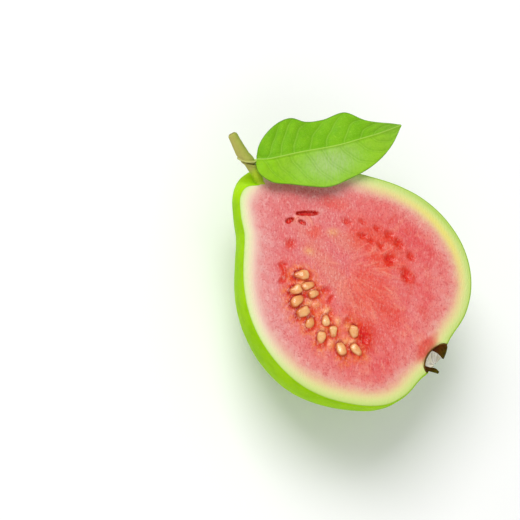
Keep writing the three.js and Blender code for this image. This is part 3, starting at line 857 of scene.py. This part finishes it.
def make_leaf(material):
    """Leaf: two faces of the waved blade joined round the edge, thin at the margin and thick at the
    midrib below, with a short leaf stalk that bends down to the stem's node."""
    stations, spans = np.linspace(0.008, 0.992, LEAF_ROWS), np.linspace(-1, 1, LEAF_COLUMNS)
    share, across = np.meshgrid(stations, spans, indexing="ij")
    middle, away, from_rib = leaf_surface(share, across)
    wing = np.abs(across)
    edge = smooth(1.0, 0.965, wing) * 0.7 + 0.3
    below = BLADE * edge + 0.12 * bell(away, 0, 0.25)
    below = below + MIDRIB_BODY * bell(from_rib, 0, 0.55) * (1 - 0.75 * share)
    top = middle + [0, 0, BLADE_LIFT]
    under = top - below[..., None] * [0, 0, 1]
    size = LEAF_ROWS * LEAF_COLUMNS
    stalk, stalk_faces, stalk_share, _ = tube(lifted(PETIOLE_LINE), 30, 20, lambda s, a: 0.95 - 0.5 * s)
    faces = shell_faces(LEAF_ROWS, LEAF_COLUMNS) + [part + 2 * size for part in stalk_faces]
    points = np.concatenate([top.reshape(-1, 3), under.reshape(-1, 3), stalk])
    tail = len(stalk)
    thread = bell(away, 0, 0.12) * smooth(1, 0.8, wing) * np.where(across < 0, 0.2, 0.42)
    vein = np.maximum(thread, bell(from_rib, 0, 0.1 + 0.06 * (1 - share)))
    # Painted shade: darker bands beside the side veins and the midrib, stronger on the upper wing
    groove = bell(away, 0.42, 0.3) * smooth(1, 0.8, wing) * np.where(across < 0, 0.6, 0.9)
    groove = np.maximum(groove, 0.5 * bell(from_rib, 0.5, 0.3))
    sheen = bell(share, 0.47, 0.17) * bell(across, -0.42, 0.42) * smooth(0.0, -0.06, across)
    both = lambda values, end: np.concatenate([values.ravel(), values.ravel(), np.full(tail, end)])
    fields = {
        "vein": both(vein, 0.9),
        "groove": both(groove, 0.0),
        "sheen": both(sheen, 0.0),
        # Painted shade over the upper wing
        "shaded_upper_wing": both(smooth(-0.03, 0.03, across), 0.0),
        "tip": both(smooth(0.72, 1, share), 0.0),
        "margin": both(smooth(0.955, 1.0, wing), 0.0),
        "underside": np.concatenate([np.zeros(size), np.ones(size), np.zeros(tail)]),
    }
    leaf = new_piece("leaf_blade", points, faces, material, ["leaf"], fields)
    width = np.concatenate([across.ravel() * 1.2] * 2 + [ended(stalk_share)])
    length = np.concatenate([share.ravel() * 5.4] * 2 + [ended(stalk_share)])
    layer = leaf.data.uv_layers.new(name="blade")
    corner = np.zeros(len(leaf.data.loops), np.int32)
    leaf.data.loops.foreach_get("vertex_index", corner)
    layer.data.foreach_set("uv", np.stack([length, width], -1)[corner].ravel().astype(np.float32))
    return leaf


# Calyx

CUP_LIFT = 0.12
CUP_WALL = 0.5
CUP_DEPTH = math.radians(84)
CRUMPLE = ((0.10, 1.3, 81), (0.05, 0.6, 82))
CUP_ROWS = 60
CUP_COLUMNS = 90
SEPAL_ROWS = 60
SEPAL_COLUMNS = 28
UPPER_SEPAL = (
    [[36.9, 7.4, -0.3], [38.5, 7.3, 0.4], [39.9, 5.1, 0.7], [40.7, 2.8, 0.7]],
    [[35.9, 2.3, -0.4], [37.3, 2.7, 0.3], [38.8, 2.8, 0.6], [40.4, 2.6, 0.7]],
)
LOWER_SEPAL = (
    [[38.0, -4.9, -0.6], [40.3, -3.5, 0.1], [41.5, -2.9, 0.5], [42.6, -2.3, 0.5]],
    [[36.8, -3.7, -0.4], [39.2, -2.6, 0.3], [41.0, -1.5, 0.6], [42.4, -1.4, 0.5]],
)
SEPAL_BODY = 0.5


def cup_shell():
    """Cup: the crater's ball between two angles, an outer and an inner face joined round the edge."""
    down, across = np.linspace(0, CUP_DEPTH, CUP_ROWS), np.linspace(-1, 1, CUP_COLUMNS)
    b, turn = np.meshgrid(down, across, indexing="ij")
    a = np.pi + turn * np.radians(60 + 24 * smooth(0.05, 0.9, b))
    layers = []
    place = np.stack([np.cos(a) * 6, np.sin(a) * 6, b * 5], -1)
    crumple = layered(place, CRUMPLE)
    for offset in (0.15, -CUP_WALL):
        inside = offset < 0
        wall = offset * smooth(-0.06, 0.2, b)[..., None] if inside else offset
        radii = np.array(CRATER_RADII) + wall
        shape = np.stack([np.cos(a) * np.cos(b), np.sin(a) * np.cos(b), -np.sin(b)], -1) * radii
        if inside:
            shape = shape * (1 - crumple * 0.12)[..., None]
        layers.append((shape + [*CRATER_CENTRE, CUT - CUP_LIFT]).reshape(-1, 3))
    streaks = noise(np.stack([np.cos(a) * 9, np.sin(a) * 9, b * 1.5], -1), 1.0, 84)
    dry = smooth(0.14, 0.04, b) + smooth(0.8, 0.95, turn) + 0.4 * smooth(-0.1, 0.8, streaks)
    dry = np.stack([np.ones_like(dry), np.clip(dry, 0, 1)])
    return np.concatenate(layers), shell_faces(CUP_ROWS, CUP_COLUMNS), dry.ravel()


def sepal_shell(edges):
    """Sepal: drawn between two edge lines, cupped across, an upper and a lower face joined round."""
    share, across = np.linspace(0, 1, SEPAL_ROWS), np.linspace(0, 1, SEPAL_COLUMNS)
    outer, inner = (smooth_line(lifted(line), share) for line in edges)
    middle = outer[:, None] * (1 - across)[:, None] + inner[:, None] * across[:, None]
    s, t = np.meshgrid(share, across, indexing="ij")
    ribs = 0.07 * np.sin(t * 22 + 2 * s) + 0.05 * noise(middle, 0.5, 91)
    cupped = -0.35 * (2 * t - 1) ** 2 * (1 - 0.5 * s)
    middle[..., 2] += cupped + ribs
    body = SEPAL_BODY * (0.35 + 0.65 * np.sin(np.pi * np.clip(t, 0.03, 0.97)) ** 0.5) * (1 - 0.35 * s)
    under = middle - body[..., None] * [0, 0, 1]
    points = np.concatenate([middle.reshape(-1, 3), under.reshape(-1, 3)])
    return points, shell_faces(SEPAL_ROWS, SEPAL_COLUMNS), s, t


def make_calyx(material):
    """Calyx: the dry cup that lines the crater and its two sepals, as one piece."""
    points, faces, dry = cup_shell()
    parts, dryness, olive = [points], [dry], [np.zeros(len(points))]
    for edges in (UPPER_SEPAL, LOWER_SEPAL):
        first = sum(len(part) for part in parts)
        shell, sepal_faces, s, t = sepal_shell(edges)
        parts.append(shell)
        faces = faces + [part + first for part in sepal_faces]
        dryness.append(np.ones(len(shell)))
        tone = np.clip(0.1 + 1.4 * s * (1 - 0.6 * t), 0, 1)
        olive.append(np.concatenate([tone.ravel(), tone.ravel()]))
    fields = {"dry": np.concatenate(dryness), "olive": np.concatenate(olive)}
    return new_piece("calyx_cup", np.concatenate(parts), faces, material, ["calyx"], fields)


# Shader nodes

class Nodes:
    """Adds nodes to a tree. An input may be a number, a colour or another node's output."""

    def __init__(self, tree):
        self.tree = tree

    def node(self, kind, inputs=None, **settings):
        """Adds a node, sets its options, and fills its inputs."""
        made = self.tree.nodes.new("ShaderNode" + kind)
        for option, value in settings.items():
            setattr(made, option, value)
        for key, value in (inputs or {}).items():
            if isinstance(value, bpy.types.NodeSocket):
                self.tree.links.new(value, made.inputs[key])
            else:
                made.inputs[key].default_value = value
        return made

    def maths(self, operation, first, second):
        """One sum on two numbers."""
        return self.node("Math", {0: first, 1: second}, operation=operation).outputs[0]

    def times(self, first, second):
        """The product of two numbers, mostly of a mask and its strength."""
        return self.maths("MULTIPLY", first, second)

    def ranged(self, value, low, high, start=0.0, end=1.0):
        """Carries low..high onto start..end, softly and clamped."""
        inputs = {"Value": value, "From Min": low, "From Max": high, "To Min": start, "To Max": end}
        return self.node("MapRange", inputs, interpolation_type="SMOOTHSTEP").outputs[0]


def mottle(sheet, start, scale):
    """Mottle: cloudy patches with soft edges. Cover is the share of the surface inside them."""
    inputs = {"Vector": start["Place"], "Scale": scale, "Detail": 5.0, "Roughness": 0.6}
    clouds = sheet.node("TexNoise", inputs).outputs["Fac"]
    middle = sheet.maths("SUBTRACT", 0.72, sheet.times(start["Cover"], 0.44))
    low, high = (sheet.maths(way, middle, start["Softness"]) for way in ("SUBTRACT", "ADD"))
    return sheet.ranged(clouds, low, high)


def specks(sheet, start, scale):
    """Specks: small round dots scattered over the surface, one in a share of the cells. Spread is
    the dot's radius against the cell's width."""
    cells = sheet.node("TexVoronoi", {"Vector": start["Place"], "Scale": scale})
    inside = sheet.ranged(cells.outputs["Distance"], start["Spread"], sheet.times(start["Spread"], 0.5))
    pick = sheet.node("SeparateColor", {0: cells.outputs["Color"]}).outputs[0]
    return sheet.times(inside, sheet.maths("LESS_THAN", pick, start["Share"]))


def grain(sheet, start, scale):
    """Grain: fine rise and fall of the surface, from two sizes of noise, for bumps."""
    coarse, fine = (
        sheet.node("TexNoise", {"Vector": start["Place"], "Scale": size, "Detail": detail}).outputs["Fac"]
        for size, detail in ((scale, 3.0), (sheet.times(scale, 3.1), 2.0))
    )
    return sheet.maths("ADD", coarse, sheet.times(fine, start["Fine share"]))


# Effects: their inputs with usual values, sizes in millimetres, the output, and what fills the group
EFFECTS = {
    "mottle": ({"Size": 5.0, "Cover": 0.5, "Softness": 0.1}, "Mask", mottle),
    "specks": ({"Size": 2.0, "Spread": 0.2, "Share": 0.5}, "Mask", specks),
    "grain": ({"Size": 0.5, "Fine share": 0.4}, "Height", grain),
}


def effect_group(name):
    """The node group of an effect, which all materials share. It is made when first asked for."""
    group = bpy.data.node_groups.get(name)
    if group is None:
        values, result, fill = EFFECTS[name]
        group = bpy.data.node_groups.new(name, "ShaderNodeTree")
        group.interface.new_socket("Place", in_out="INPUT", socket_type="NodeSocketVector")
        for label, value in values.items():
            socket = group.interface.new_socket(label, in_out="INPUT", socket_type="NodeSocketFloat")
            socket.default_value = value
        group.interface.new_socket(result, in_out="OUTPUT", socket_type="NodeSocketFloat")
        start = group.nodes.new("NodeGroupInput").outputs
        finish = group.nodes.new("NodeGroupOutput").inputs
        sheet = Nodes(group)
        scale = sheet.maths("DIVIDE", 1 / MM, start["Size"])
        group.links.new(fill(sheet, start, scale), finish[result])
    return group


class Paint(Nodes):
    """A material with one Principled surface, whose even numbers are set on its own sockets. Colours
    are laid one over another and end in its Base Color. Three numbers are a display colour."""

    def __init__(self, name, **surface):
        self.material = bpy.data.materials.new(name)
        self.material.use_nodes = True
        super().__init__(self.material.node_tree)
        self.shader = self.tree.nodes["Principled BSDF"]
        for label, value in surface.items():
            socket = label.replace("_", " ").title().replace("Ior", "IOR")
            self.shader.inputs[socket].default_value = value
        self.place = self.node("TexCoord").outputs["Object"]

    def effect(self, name, *values, place=None):
        """Puts an effect group in, with values in the order of its inputs."""
        made = self.node("Group")
        made.node_tree = effect_group(name)
        self.tree.links.new(self.place if place is None else place, made.inputs["Place"])
        for label, value in zip(EFFECTS[name][0], values):
            made.inputs[label].default_value = value
        return made.outputs[0]

    def field(self, name):
        """A number that the mesh carries at its points."""
        return self.node("Attribute", attribute_name=name).outputs["Fac"]

    def ramp(self, value, stops):
        """Colour by a number, through stops given as millimetres in from the rim and display colour."""
        made = self.node("ValToRGB", {0: value})
        points = made.color_ramp.elements
        for index, (place, colour) in enumerate(stops):
            place = place / RIM_WIDTH
            point = points[index] if index < 2 else points.new(place)
            point.position = place
            point.color = srgb(*colour)
        return made.outputs[0]

    def mix(self, mask, under, over):
        """One colour over another where the mask is 1."""
        under, over = (srgb(*shade) if isinstance(shade, tuple) else shade for shade in (under, over))
        return self.node("Mix", {0: mask, 6: under, 7: over}, data_type="RGBA").outputs[2]

    def lay(self, mask, strength, colour):
        """Lays a colour over what is there, by a mask or by the name of a number that the mesh carries."""
        mask = self.field(mask) if isinstance(mask, str) else mask
        self.colour = self.mix(mask if strength == 1 else self.times(mask, strength), self.colour, colour)

    def finish(self, cover, bare, covered, height, distance):
        """Links the colour, the roughness where a mask is 0 and 1, and a bump whose distance is how
        far the highest grain stands up, in millimetres."""
        bump = self.node("Bump", {"Height": height, "Distance": distance * MM, "Strength": 1.0})
        roughness = self.ranged(cover, 0.0, 1.0, bare, covered)
        ends = {"Base Color": self.colour, "Roughness": roughness, "Normal": bump.outputs[0]}
        for label, end in ends.items():
            self.tree.links.new(end, self.shader.inputs[label])
        return self.material


# Materials

RIM_WIDTH = 14.0
FLECK_TURN = math.radians(-47)
MINT_STOPS = [
    (0, (200, 229, 128)), (0.5, (215, 237, 158)), (1, (224, 238, 176)), (2, (235, 231, 188)),
    (3, (238, 216, 188)), (4, (236, 196, 181)), (5, (233, 179, 170)), (6.5, (231, 164, 161)),
    (9, (229, 149, 149)), (13, (227, 130, 130)),
]
YELLOW_STOPS = [
    (0, (180, 214, 102)), (0.5, (196, 221, 126)), (1.2, (206, 226, 140)), (2.2, (220, 226, 150)),
    (3, (228, 219, 154)), (4, (232, 205, 156)), (5, (233, 188, 156)), (6.5, (233, 166, 154)),
    (8.5, (233, 144, 138)), (13, (231, 124, 121)),
]
GLOSS_VEIL_OFFSET = (0.03, 0.045, 0.045)


def flesh_material(look):
    """Flesh: green under the skin, through mint or yellow to pink by the distance from the rim. Over
    it lie soft patches, rays and fibres, red hollows, painted shade round the seeds, and a grain of
    fine light and dark flecks that is drawn out one way, the light ones partly grain and partly painted
    glints. A little comes off each channel as painted shade, to offset the pale veil the wet gloss
    reflects."""
    paint = Paint(
        "guava flesh", subsurface_weight=0.06, subsurface_scale=1.0 * MM,
        subsurface_radius=(1.0, 0.4, 0.25), coat_weight=0.2, coat_roughness=0.12,
        specular_ior_level=0.28,
    )
    effect, field, lay, ranged, times = paint.effect, paint.field, paint.lay, paint.ranged, paint.times
    shift = times(paint.maths("SUBTRACT", effect("grain", 2.6, 0.5), 0.75), 2.6)
    depth = field("rim")
    inner, within = ranged(depth, 3.0, 8.0), ranged(depth, 4.0, 10.0)
    far = paint.maths("DIVIDE", paint.maths("ADD", depth, times(shift, inner)), RIM_WIDTH)
    paint.colour = paint.mix(field("yellow"), paint.ramp(far, MINT_STOPS), paint.ramp(far, YELLOW_STOPS))
    lay("golden", 0.55, (240, 226, 104))
    lay(times(field("crimson"), within), 0.65, (225, 78, 84))
    lay(times(field("pale"), within), 0.55, (237, 172, 166))
    lay(times(field("salmon"), within), 0.8, (230, 142, 122))
    lay(times(field("orange"), within), 1, look.pulp_colour)
    lay(times(ranged(field("ray"), 0.52, 0.85, 0.0, 0.5), within), 1, (244, 156, 132))
    lay(times(ranged(field("ray"), 0.48, 0.2, 0.0, 0.45), within), 1, (222, 84, 68))
    soft = effect("mottle", 2.6, 0.5, 0.16)
    lay(times(soft, inner), 0.28, (222, 78, 78))
    lay(times(effect("mottle", 1.7, 0.4, 0.12), inner), 0.14, (242, 178, 166))
    lay("fibre", 0.8, (248, 164, 140))
    lay("bed", 0.85, (238, 130, 68))
    lay("faint", 0.7, (238, 176, 122))
    hollow = paint.mix(ranged(effect("grain", 0.9, 0.5), 0.55, 0.95), (208, 38, 24), (228, 66, 46))
    lay(paint.maths("MAXIMUM", field("red"), field("deep")), 0.95, hollow)
    # Painted shade round the seeds' sides towards -x, and the darker rims of the slits
    lay("dark", 0.8, (142, 38, 16))
    lay(times(effect("mottle", 1.0, 0.3, 0.1), field("bed")), 0.45, (250, 200, 168))
    lay("buried", 0.85, paint.mix(soft, (243, 158, 104), (250, 200, 150)))
    drawn = {"Vector": paint.place, "Rotation": (0, 0, FLECK_TURN), "Scale": (2.4, 1, 1)}
    drawn = paint.node("Mapping", drawn, vector_type="TEXTURE").outputs[0]
    # Light flecks drawn out one way: partly the flesh's grain and partly painted glints, strongest on the
    # mint side
    light = times(effect("mottle", 0.58, 0.28, 0.09, place=drawn), inner)
    lay(times(light, ranged(field("yellow"), 0.0, 1.0, 0.46, 0.24)), 1, (250, 198, 190))
    lay(times(effect("mottle", 0.66, 0.32, 0.07), inner), 0.5, (198, 78, 80))
    # Painted shade: a set amount comes off each channel, to offset the pale veil that the gloss reflects
    for operation, value in (("SUBTRACT", GLOSS_VEIL_OFFSET), ("MAXIMUM", (0, 0, 0))):
        paint.colour = paint.node("VectorMath", {0: paint.colour, 1: value}, operation=operation).outputs[0]
    gloss = effect("mottle", 1.2, 0.5, 0.15)
    return paint.finish(gloss, 0.55, 0.3, effect("grain", 0.5, 0.5, place=drawn), 0.2)


def skin_material(look):
    """Skin: yellow-green with cloudy lighter and deeper patches, pale dots, fine pebbles, and painted shade
    that darkens it towards the floor. The line where the knife went through is darker, and the skin
    dries brown round the calyx."""
    paint = Paint("guava skin", specular_ior_level=0.015)
    effect, lay = paint.effect, paint.lay
    paint.colour = paint.mix(effect("mottle", 14.0, 0.5, 0.15), look.skin_colour, (168, 220, 8))
    lay(effect("mottle", 5.0, 0.35, 0.12), 0.4, (132, 190, 0))
    # Painted shade: the skin goes darker green towards the floor
    height = paint.node("SeparateXYZ", {0: paint.place}).outputs["Z"]
    lay(paint.ranged(height, 0.03, 0.004, 0.0, 0.45), 1, (126, 172, 20))
    lay(effect("specks", 1.9, 0.2, 0.55), 0.42, (190, 224, 70))
    lay(effect("specks", 4.6, 0.08, 0.45), 0.6, (112, 128, 24))
    lay("cut_edge", 0.8, (156, 202, 40))
    lay("dry", 1, (112, 84, 34))
    return paint.finish(effect("mottle", 3.0, 0.5, 0.2), 0.36, 0.5, effect("grain", 0.7, 0.3), 0.10)


def seed_material(look):
    """Seeds: cream to amber, glossy with juice, darker orange low down, partly where they sink into the
    pulp and partly painted shade under their lit tops.
    """
    paint = Paint(
        "guava seed", subsurface_weight=0.08, subsurface_scale=0.8 * MM, subsurface_radius=(1.0, 0.6, 0.3),
        coat_weight=0.5, coat_roughness=0.1,
    )
    clouds = paint.effect("mottle", 2.4, 0.5, 0.15)
    paint.colour = paint.mix(clouds, look.seed_colour, (230, 148, 84))
    paint.lay(paint.effect("mottle", 1.3, 0.3, 0.12), 0.6, (250, 218, 160))
    paint.lay("tone", 0.6, (228, 146, 74))
    # Darker orange low on each seed: partly the pulp round its base, partly painted shade below its lit top
    paint.colour = paint.mix(paint.field("lit_crown_over_pulp"), (208, 98, 38), paint.colour)
    return paint.finish(clouds, 0.28, 0.4, paint.effect("grain", 0.35, 0.5), 0.03)


def stem_material(look):
    """Stem: woody olive twig, dark brown in the groove under the node, brown on its cut end and green
    below, with painted light down one side and painted shade down the other.
    """
    paint = Paint("guava stem", specular_ior_level=0.15)
    effect, lay = paint.effect, paint.lay
    patches = effect("mottle", 2.2, 0.5, 0.12)
    paint.colour = paint.mix(patches, look.stem_colour, (172, 176, 82))
    # Painted shade on the far side of the twig, painted light on its near side
    lay("shaded_side", 0.75, (122, 146, 44))
    lay("lit_side", 0.5, (188, 176, 100))
    lay("green", 1, paint.mix(patches, (160, 196, 20), (178, 206, 44)))
    lay(effect("specks", 0.7, 0.25, 0.35), 0.35, (128, 112, 52))
    # Dark brown band in the groove under the node's ledge
    lay("node_groove_band", 0.95, (74, 52, 20))
    lay("lip", 1, (196, 200, 120))
    lay("cut_end", 1, (140, 134, 66))
    return paint.finish(patches, 0.5, 0.68, effect("grain", 0.35, 0.5), 0.08)


def leaf_material(look):
    """Leaf: fresh green, yellower on the lower wing as the upper wing is darker with painted shade, with
    pale veins and painted shade in the grooves beside them, a fine pale net between them, a dark thin edge,
    and a pale soft sheen in the middle of the lower wing. The underside is paler."""
    paint = Paint(
        "guava leaf", subsurface_weight=0.05, subsurface_scale=0.5 * MM, subsurface_radius=(0.5, 1.0, 0.2),
        specular_ior_level=0.12,
    )
    effect, lay, ranged = paint.effect, paint.lay, paint.ranged
    along = paint.node("UVMap", uv_map="blade").outputs[0]
    patches = effect("mottle", 5.0, 0.5, 0.15)
    paint.colour = paint.mix(patches, look.leaf_colour, (142, 196, 30))
    # Painted shade over the upper wing
    lay("shaded_upper_wing", 1, paint.mix(patches, (113, 178, 14), (124, 186, 18)))
    lay("tip", 0.5, (136, 176, 71))
    cells = paint.node("TexVoronoi", {"Vector": along, "Scale": 13.0}, feature="DISTANCE_TO_EDGE")
    net = ranged(cells.outputs["Distance"], 0.07, 0.0, 0.0, 0.32)
    lay(net, 1, (170, 214, 66))
    streaks = paint.node("TexNoise", {
        "Vector": paint.node("Mapping", {"Vector": along, "Scale": (5, 0.7, 1)}).outputs[0],
        "Scale": 5.0, "Detail": 4.0, "Distortion": 0.6,
    }).outputs["Fac"]
    lay(paint.times(paint.field("sheen"), ranged(streaks, 0.35, 0.7, 0.6, 1.0)), 0.75, (184, 206, 146))
    # Painted shade in the grooves beside the veins
    lay("groove", 0.4, (96, 158, 14))
    lay(effect("mottle", 0.9, 0.4, 0.1), 0.2, (104, 164, 24))
    lay("vein", 0.7, (188, 220, 104))
    lay("margin", 0.75, (84, 116, 44))
    lay("underside", 0.6, (166, 198, 104))
    height = paint.maths("SUBTRACT", effect("grain", 0.6, 0.4), net)
    return paint.finish(patches, 0.42, 0.55, height, 0.08)


def calyx_material(look):
    """Calyx: pale cream and waxy inside the cup, dry red-brown at its edge, olive on the sepals."""
    paint = Paint("guava calyx", specular_ior_level=0.04)
    patches = paint.effect("mottle", 1.8, 0.5, 0.12)
    waxy = paint.mix(patches, (250, 247, 232), (240, 234, 206))
    paint.colour = paint.mix(patches, look.calyx_colour, (78, 16, 0))
    paint.lay("olive", 0.8, paint.mix(patches, (52, 52, 0), (76, 76, 8)))
    paint.colour = paint.mix(paint.field("dry"), waxy, paint.colour)
    return paint.finish(patches, 0.55, 0.75, paint.effect("grain", 0.4, 0.6), 0.10)


def floor_material(look):
    """Floor: plain and pale, with the faintest unevenness."""
    paint = Paint("studio floor", specular_ior_level=0.1, roughness=0.85)
    colour = paint.mix(paint.effect("mottle", 180.0, 0.5, 0.3), look.floor_colour, (252, 252, 251))
    paint.tree.links.new(colour, paint.shader.inputs["Base Color"])
    return paint.material


# Stage

VIEW_PLACE = (-44.87, -252.47, 590.90)
VIEW_TURN = -5.0
VIEW_RISE = 67.0
VIEW_ROLL = 50.21
VIEW_SENSOR = 36.0
VIEW_REACH = 10.0
FLOOR_REACH = 3000.0

# Studio lights: place, size and share of the key light's power
KEY_LIGHT = ((-580, 90, 900), 620, 1.0)
FILL_LIGHT = ((500, -500, 700), 900, 0.3)


def view_axes():
    """The camera's right, up and backward directions: turn round the vertical, rise, then roll."""
    turn, rise, roll = (math.radians(angle) for angle in (VIEW_TURN, VIEW_RISE, VIEW_ROLL))
    back = Vector((math.sin(turn) * math.cos(rise), -math.cos(turn) * math.cos(rise), math.sin(rise)))
    right = Vector((math.cos(turn), math.sin(turn), 0))
    up = back.cross(right)
    rolled = right * math.cos(roll) + up * math.sin(roll)
    return rolled, back.cross(rolled), back


def make_camera(look):
    """Camera at the photograph's viewing angle, rolled so that the fruit leans as it does there."""
    camera = add_object("camera", bpy.data.cameras.new("camera"))
    camera.data.lens = look.lens
    camera.data.sensor_width = VIEW_SENSOR
    camera.data.clip_end = VIEW_REACH
    turned = Matrix(view_axes()).transposed().to_4x4()
    camera.matrix_world = Matrix.Translation(Vector(VIEW_PLACE) * MM) @ turned
    bpy.context.scene.camera = camera
    return camera


def make_floor(material):
    """Floor: one level square at the rest height."""
    reach = FLOOR_REACH * MM
    mesh = bpy.data.meshes.new("floor")
    corners = [(x * reach, y * reach, 0) for x, y in ((-1, -1), (1, -1), (1, 1), (-1, 1))]
    mesh.from_pydata(corners, [], [(0, 1, 2, 3)])
    mesh.materials.append(material)
    return add_object("floor", mesh)


def make_light(name, look, place, size, share):
    """A square studio light that faces the fruit."""
    light = bpy.data.lights.new(name, "AREA")
    light.shape = "SQUARE"
    light.size = size * MM
    light.energy = look.key_power * share
    lamp = add_object(name, light)
    lamp.location = Vector(place) * MM
    lamp.rotation_euler = Vector(place).to_track_quat("Z", "Y").to_euler()
    return lamp


def make_world(strength):
    """Even pale surroundings."""
    world = bpy.data.worlds.new("studio")
    world.use_nodes = True
    background = world.node_tree.nodes["Background"]
    background.inputs["Color"].default_value = (1, 1, 1, 1)
    background.inputs["Strength"].default_value = strength
    bpy.context.scene.world = world


# Add-on

class GuavaSettings(bpy.types.PropertyGroup):
    """Sizes and colours of the guava half."""
    pulp_colour: bpy.props.FloatVectorProperty(
        name="Pulp colour", description="Main colour of the pulp round the seeds", subtype="COLOR",
        size=4, min=0, max=1, default=srgb(234, 86, 64),
    )
    skin_colour: bpy.props.FloatVectorProperty(
        name="Skin colour", description="Main colour of the skin", subtype="COLOR",
        size=4, min=0, max=1, default=srgb(156, 212, 4),
    )
    seed_colour: bpy.props.FloatVectorProperty(
        name="Seed colour", description="Main colour of the seeds", subtype="COLOR",
        size=4, min=0, max=1, default=srgb(240, 190, 124),
    )
    leaf_colour: bpy.props.FloatVectorProperty(
        name="Leaf colour", description="Main colour of the leaf", subtype="COLOR",
        size=4, min=0, max=1, default=srgb(138, 198, 12),
    )
    stem_colour: bpy.props.FloatVectorProperty(
        name="Stem colour", description="Main colour of the woody part of the stem", subtype="COLOR",
        size=4, min=0, max=1, default=srgb(168, 170, 78),
    )
    calyx_colour: bpy.props.FloatVectorProperty(
        name="Calyx colour", description="Main colour of the dry calyx", subtype="COLOR",
        size=4, min=0, max=1, default=srgb(66, 14, 4),
    )
    floor_colour: bpy.props.FloatVectorProperty(
        name="Floor colour", description="Colour of the studio floor", subtype="COLOR",
        size=4, min=0, max=1, default=srgb(250, 250, 250),
    )
    lens: bpy.props.FloatProperty(
        name="Lens", description="Focal length of the camera", default=129.8, min=20, max=400,
        subtype="DISTANCE_CAMERA",
    )
    key_power: bpy.props.FloatProperty(
        name="Key light", description="Power of the main studio light", default=8.0, min=0, unit="POWER",
    )
    surround: bpy.props.FloatProperty(
        name="Surroundings", description="Brightness of the pale surroundings", default=0.42, min=0,
    )


class OBJECT_OT_guava_fruit(bpy.types.Operator):
    """Make the halved fruit: flesh, skin and seeds"""
    bl_idname = "object.guava_fruit"
    bl_label = "Guava fruit"

    def execute(self, context):
        look = context.scene.guava
        make_flesh(flesh_material(look))
        make_skin(skin_material(look))
        make_seeds(seed_material(look))
        return {"FINISHED"}


class OBJECT_OT_guava_stem(bpy.types.Operator):
    """Make the stem with its node"""
    bl_idname = "object.guava_stem"
    bl_label = "Guava stem"

    def execute(self, context):
        make_stem(stem_material(context.scene.guava))
        return {"FINISHED"}


class OBJECT_OT_guava_leaf(bpy.types.Operator):
    """Make the leaf with its veins"""
    bl_idname = "object.guava_leaf"
    bl_label = "Guava leaf"

    def execute(self, context):
        make_leaf(leaf_material(context.scene.guava))
        return {"FINISHED"}


class OBJECT_OT_guava_calyx(bpy.types.Operator):
    """Make the dry calyx cup and its sepals"""
    bl_idname = "object.guava_calyx"
    bl_label = "Guava calyx"

    def execute(self, context):
        make_calyx(calyx_material(context.scene.guava))
        return {"FINISHED"}


class OBJECT_OT_guava_stage(bpy.types.Operator):
    """Make the floor, the studio light and the camera"""
    bl_idname = "object.guava_stage"
    bl_label = "Guava stage"

    def execute(self, context):
        look = context.scene.guava
        key = make_light("key light", look, *KEY_LIGHT)
        fill = make_light("fill light", look, *FILL_LIGHT)
        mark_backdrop(make_floor(floor_material(look)), key, fill, make_camera(look))
        make_world(look.surround)
        context.scene.view_settings.view_transform = "Standard"
        return {"FINISHED"}


class VIEW3D_PT_guava(bpy.types.Panel):
    """Sidebar panel that lists the guava's pieces"""
    bl_label = "Guava half"
    bl_idname = "VIEW3D_PT_guava"
    bl_space_type = "VIEW_3D"
    bl_region_type = "UI"
    bl_category = "Guava"

    def draw(self, context):
        for label in GuavaSettings.__annotations__:
            self.layout.prop(context.scene.guava, label)
        for maker in MAKERS:
            self.layout.operator(maker.bl_idname)


MAKERS = (
    OBJECT_OT_guava_fruit, OBJECT_OT_guava_stem, OBJECT_OT_guava_leaf, OBJECT_OT_guava_calyx,
    OBJECT_OT_guava_stage,
)
CLASSES = (GuavaSettings, *MAKERS, VIEW3D_PT_guava)


def register():
    for entry in CLASSES:
        bpy.utils.register_class(entry)
    bpy.types.Scene.guava = bpy.props.PointerProperty(type=GuavaSettings)


def unregister():
    del bpy.types.Scene.guava
    for entry in reversed(CLASSES):
        bpy.utils.unregister_class(entry)


def main():
    """Makes every piece and the stage."""
    register()
    bpy.ops.object.guava_fruit()
    bpy.ops.object.guava_stem()
    bpy.ops.object.guava_leaf()
    bpy.ops.object.guava_calyx()
    bpy.ops.object.guava_stage()
    boxes = {"cad": cad_box, "visual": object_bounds()}
    sizes = {name: [[float(number) for number in corner] for corner in box] for name, box in boxes.items()}


if __name__ == "__main__":
    main()
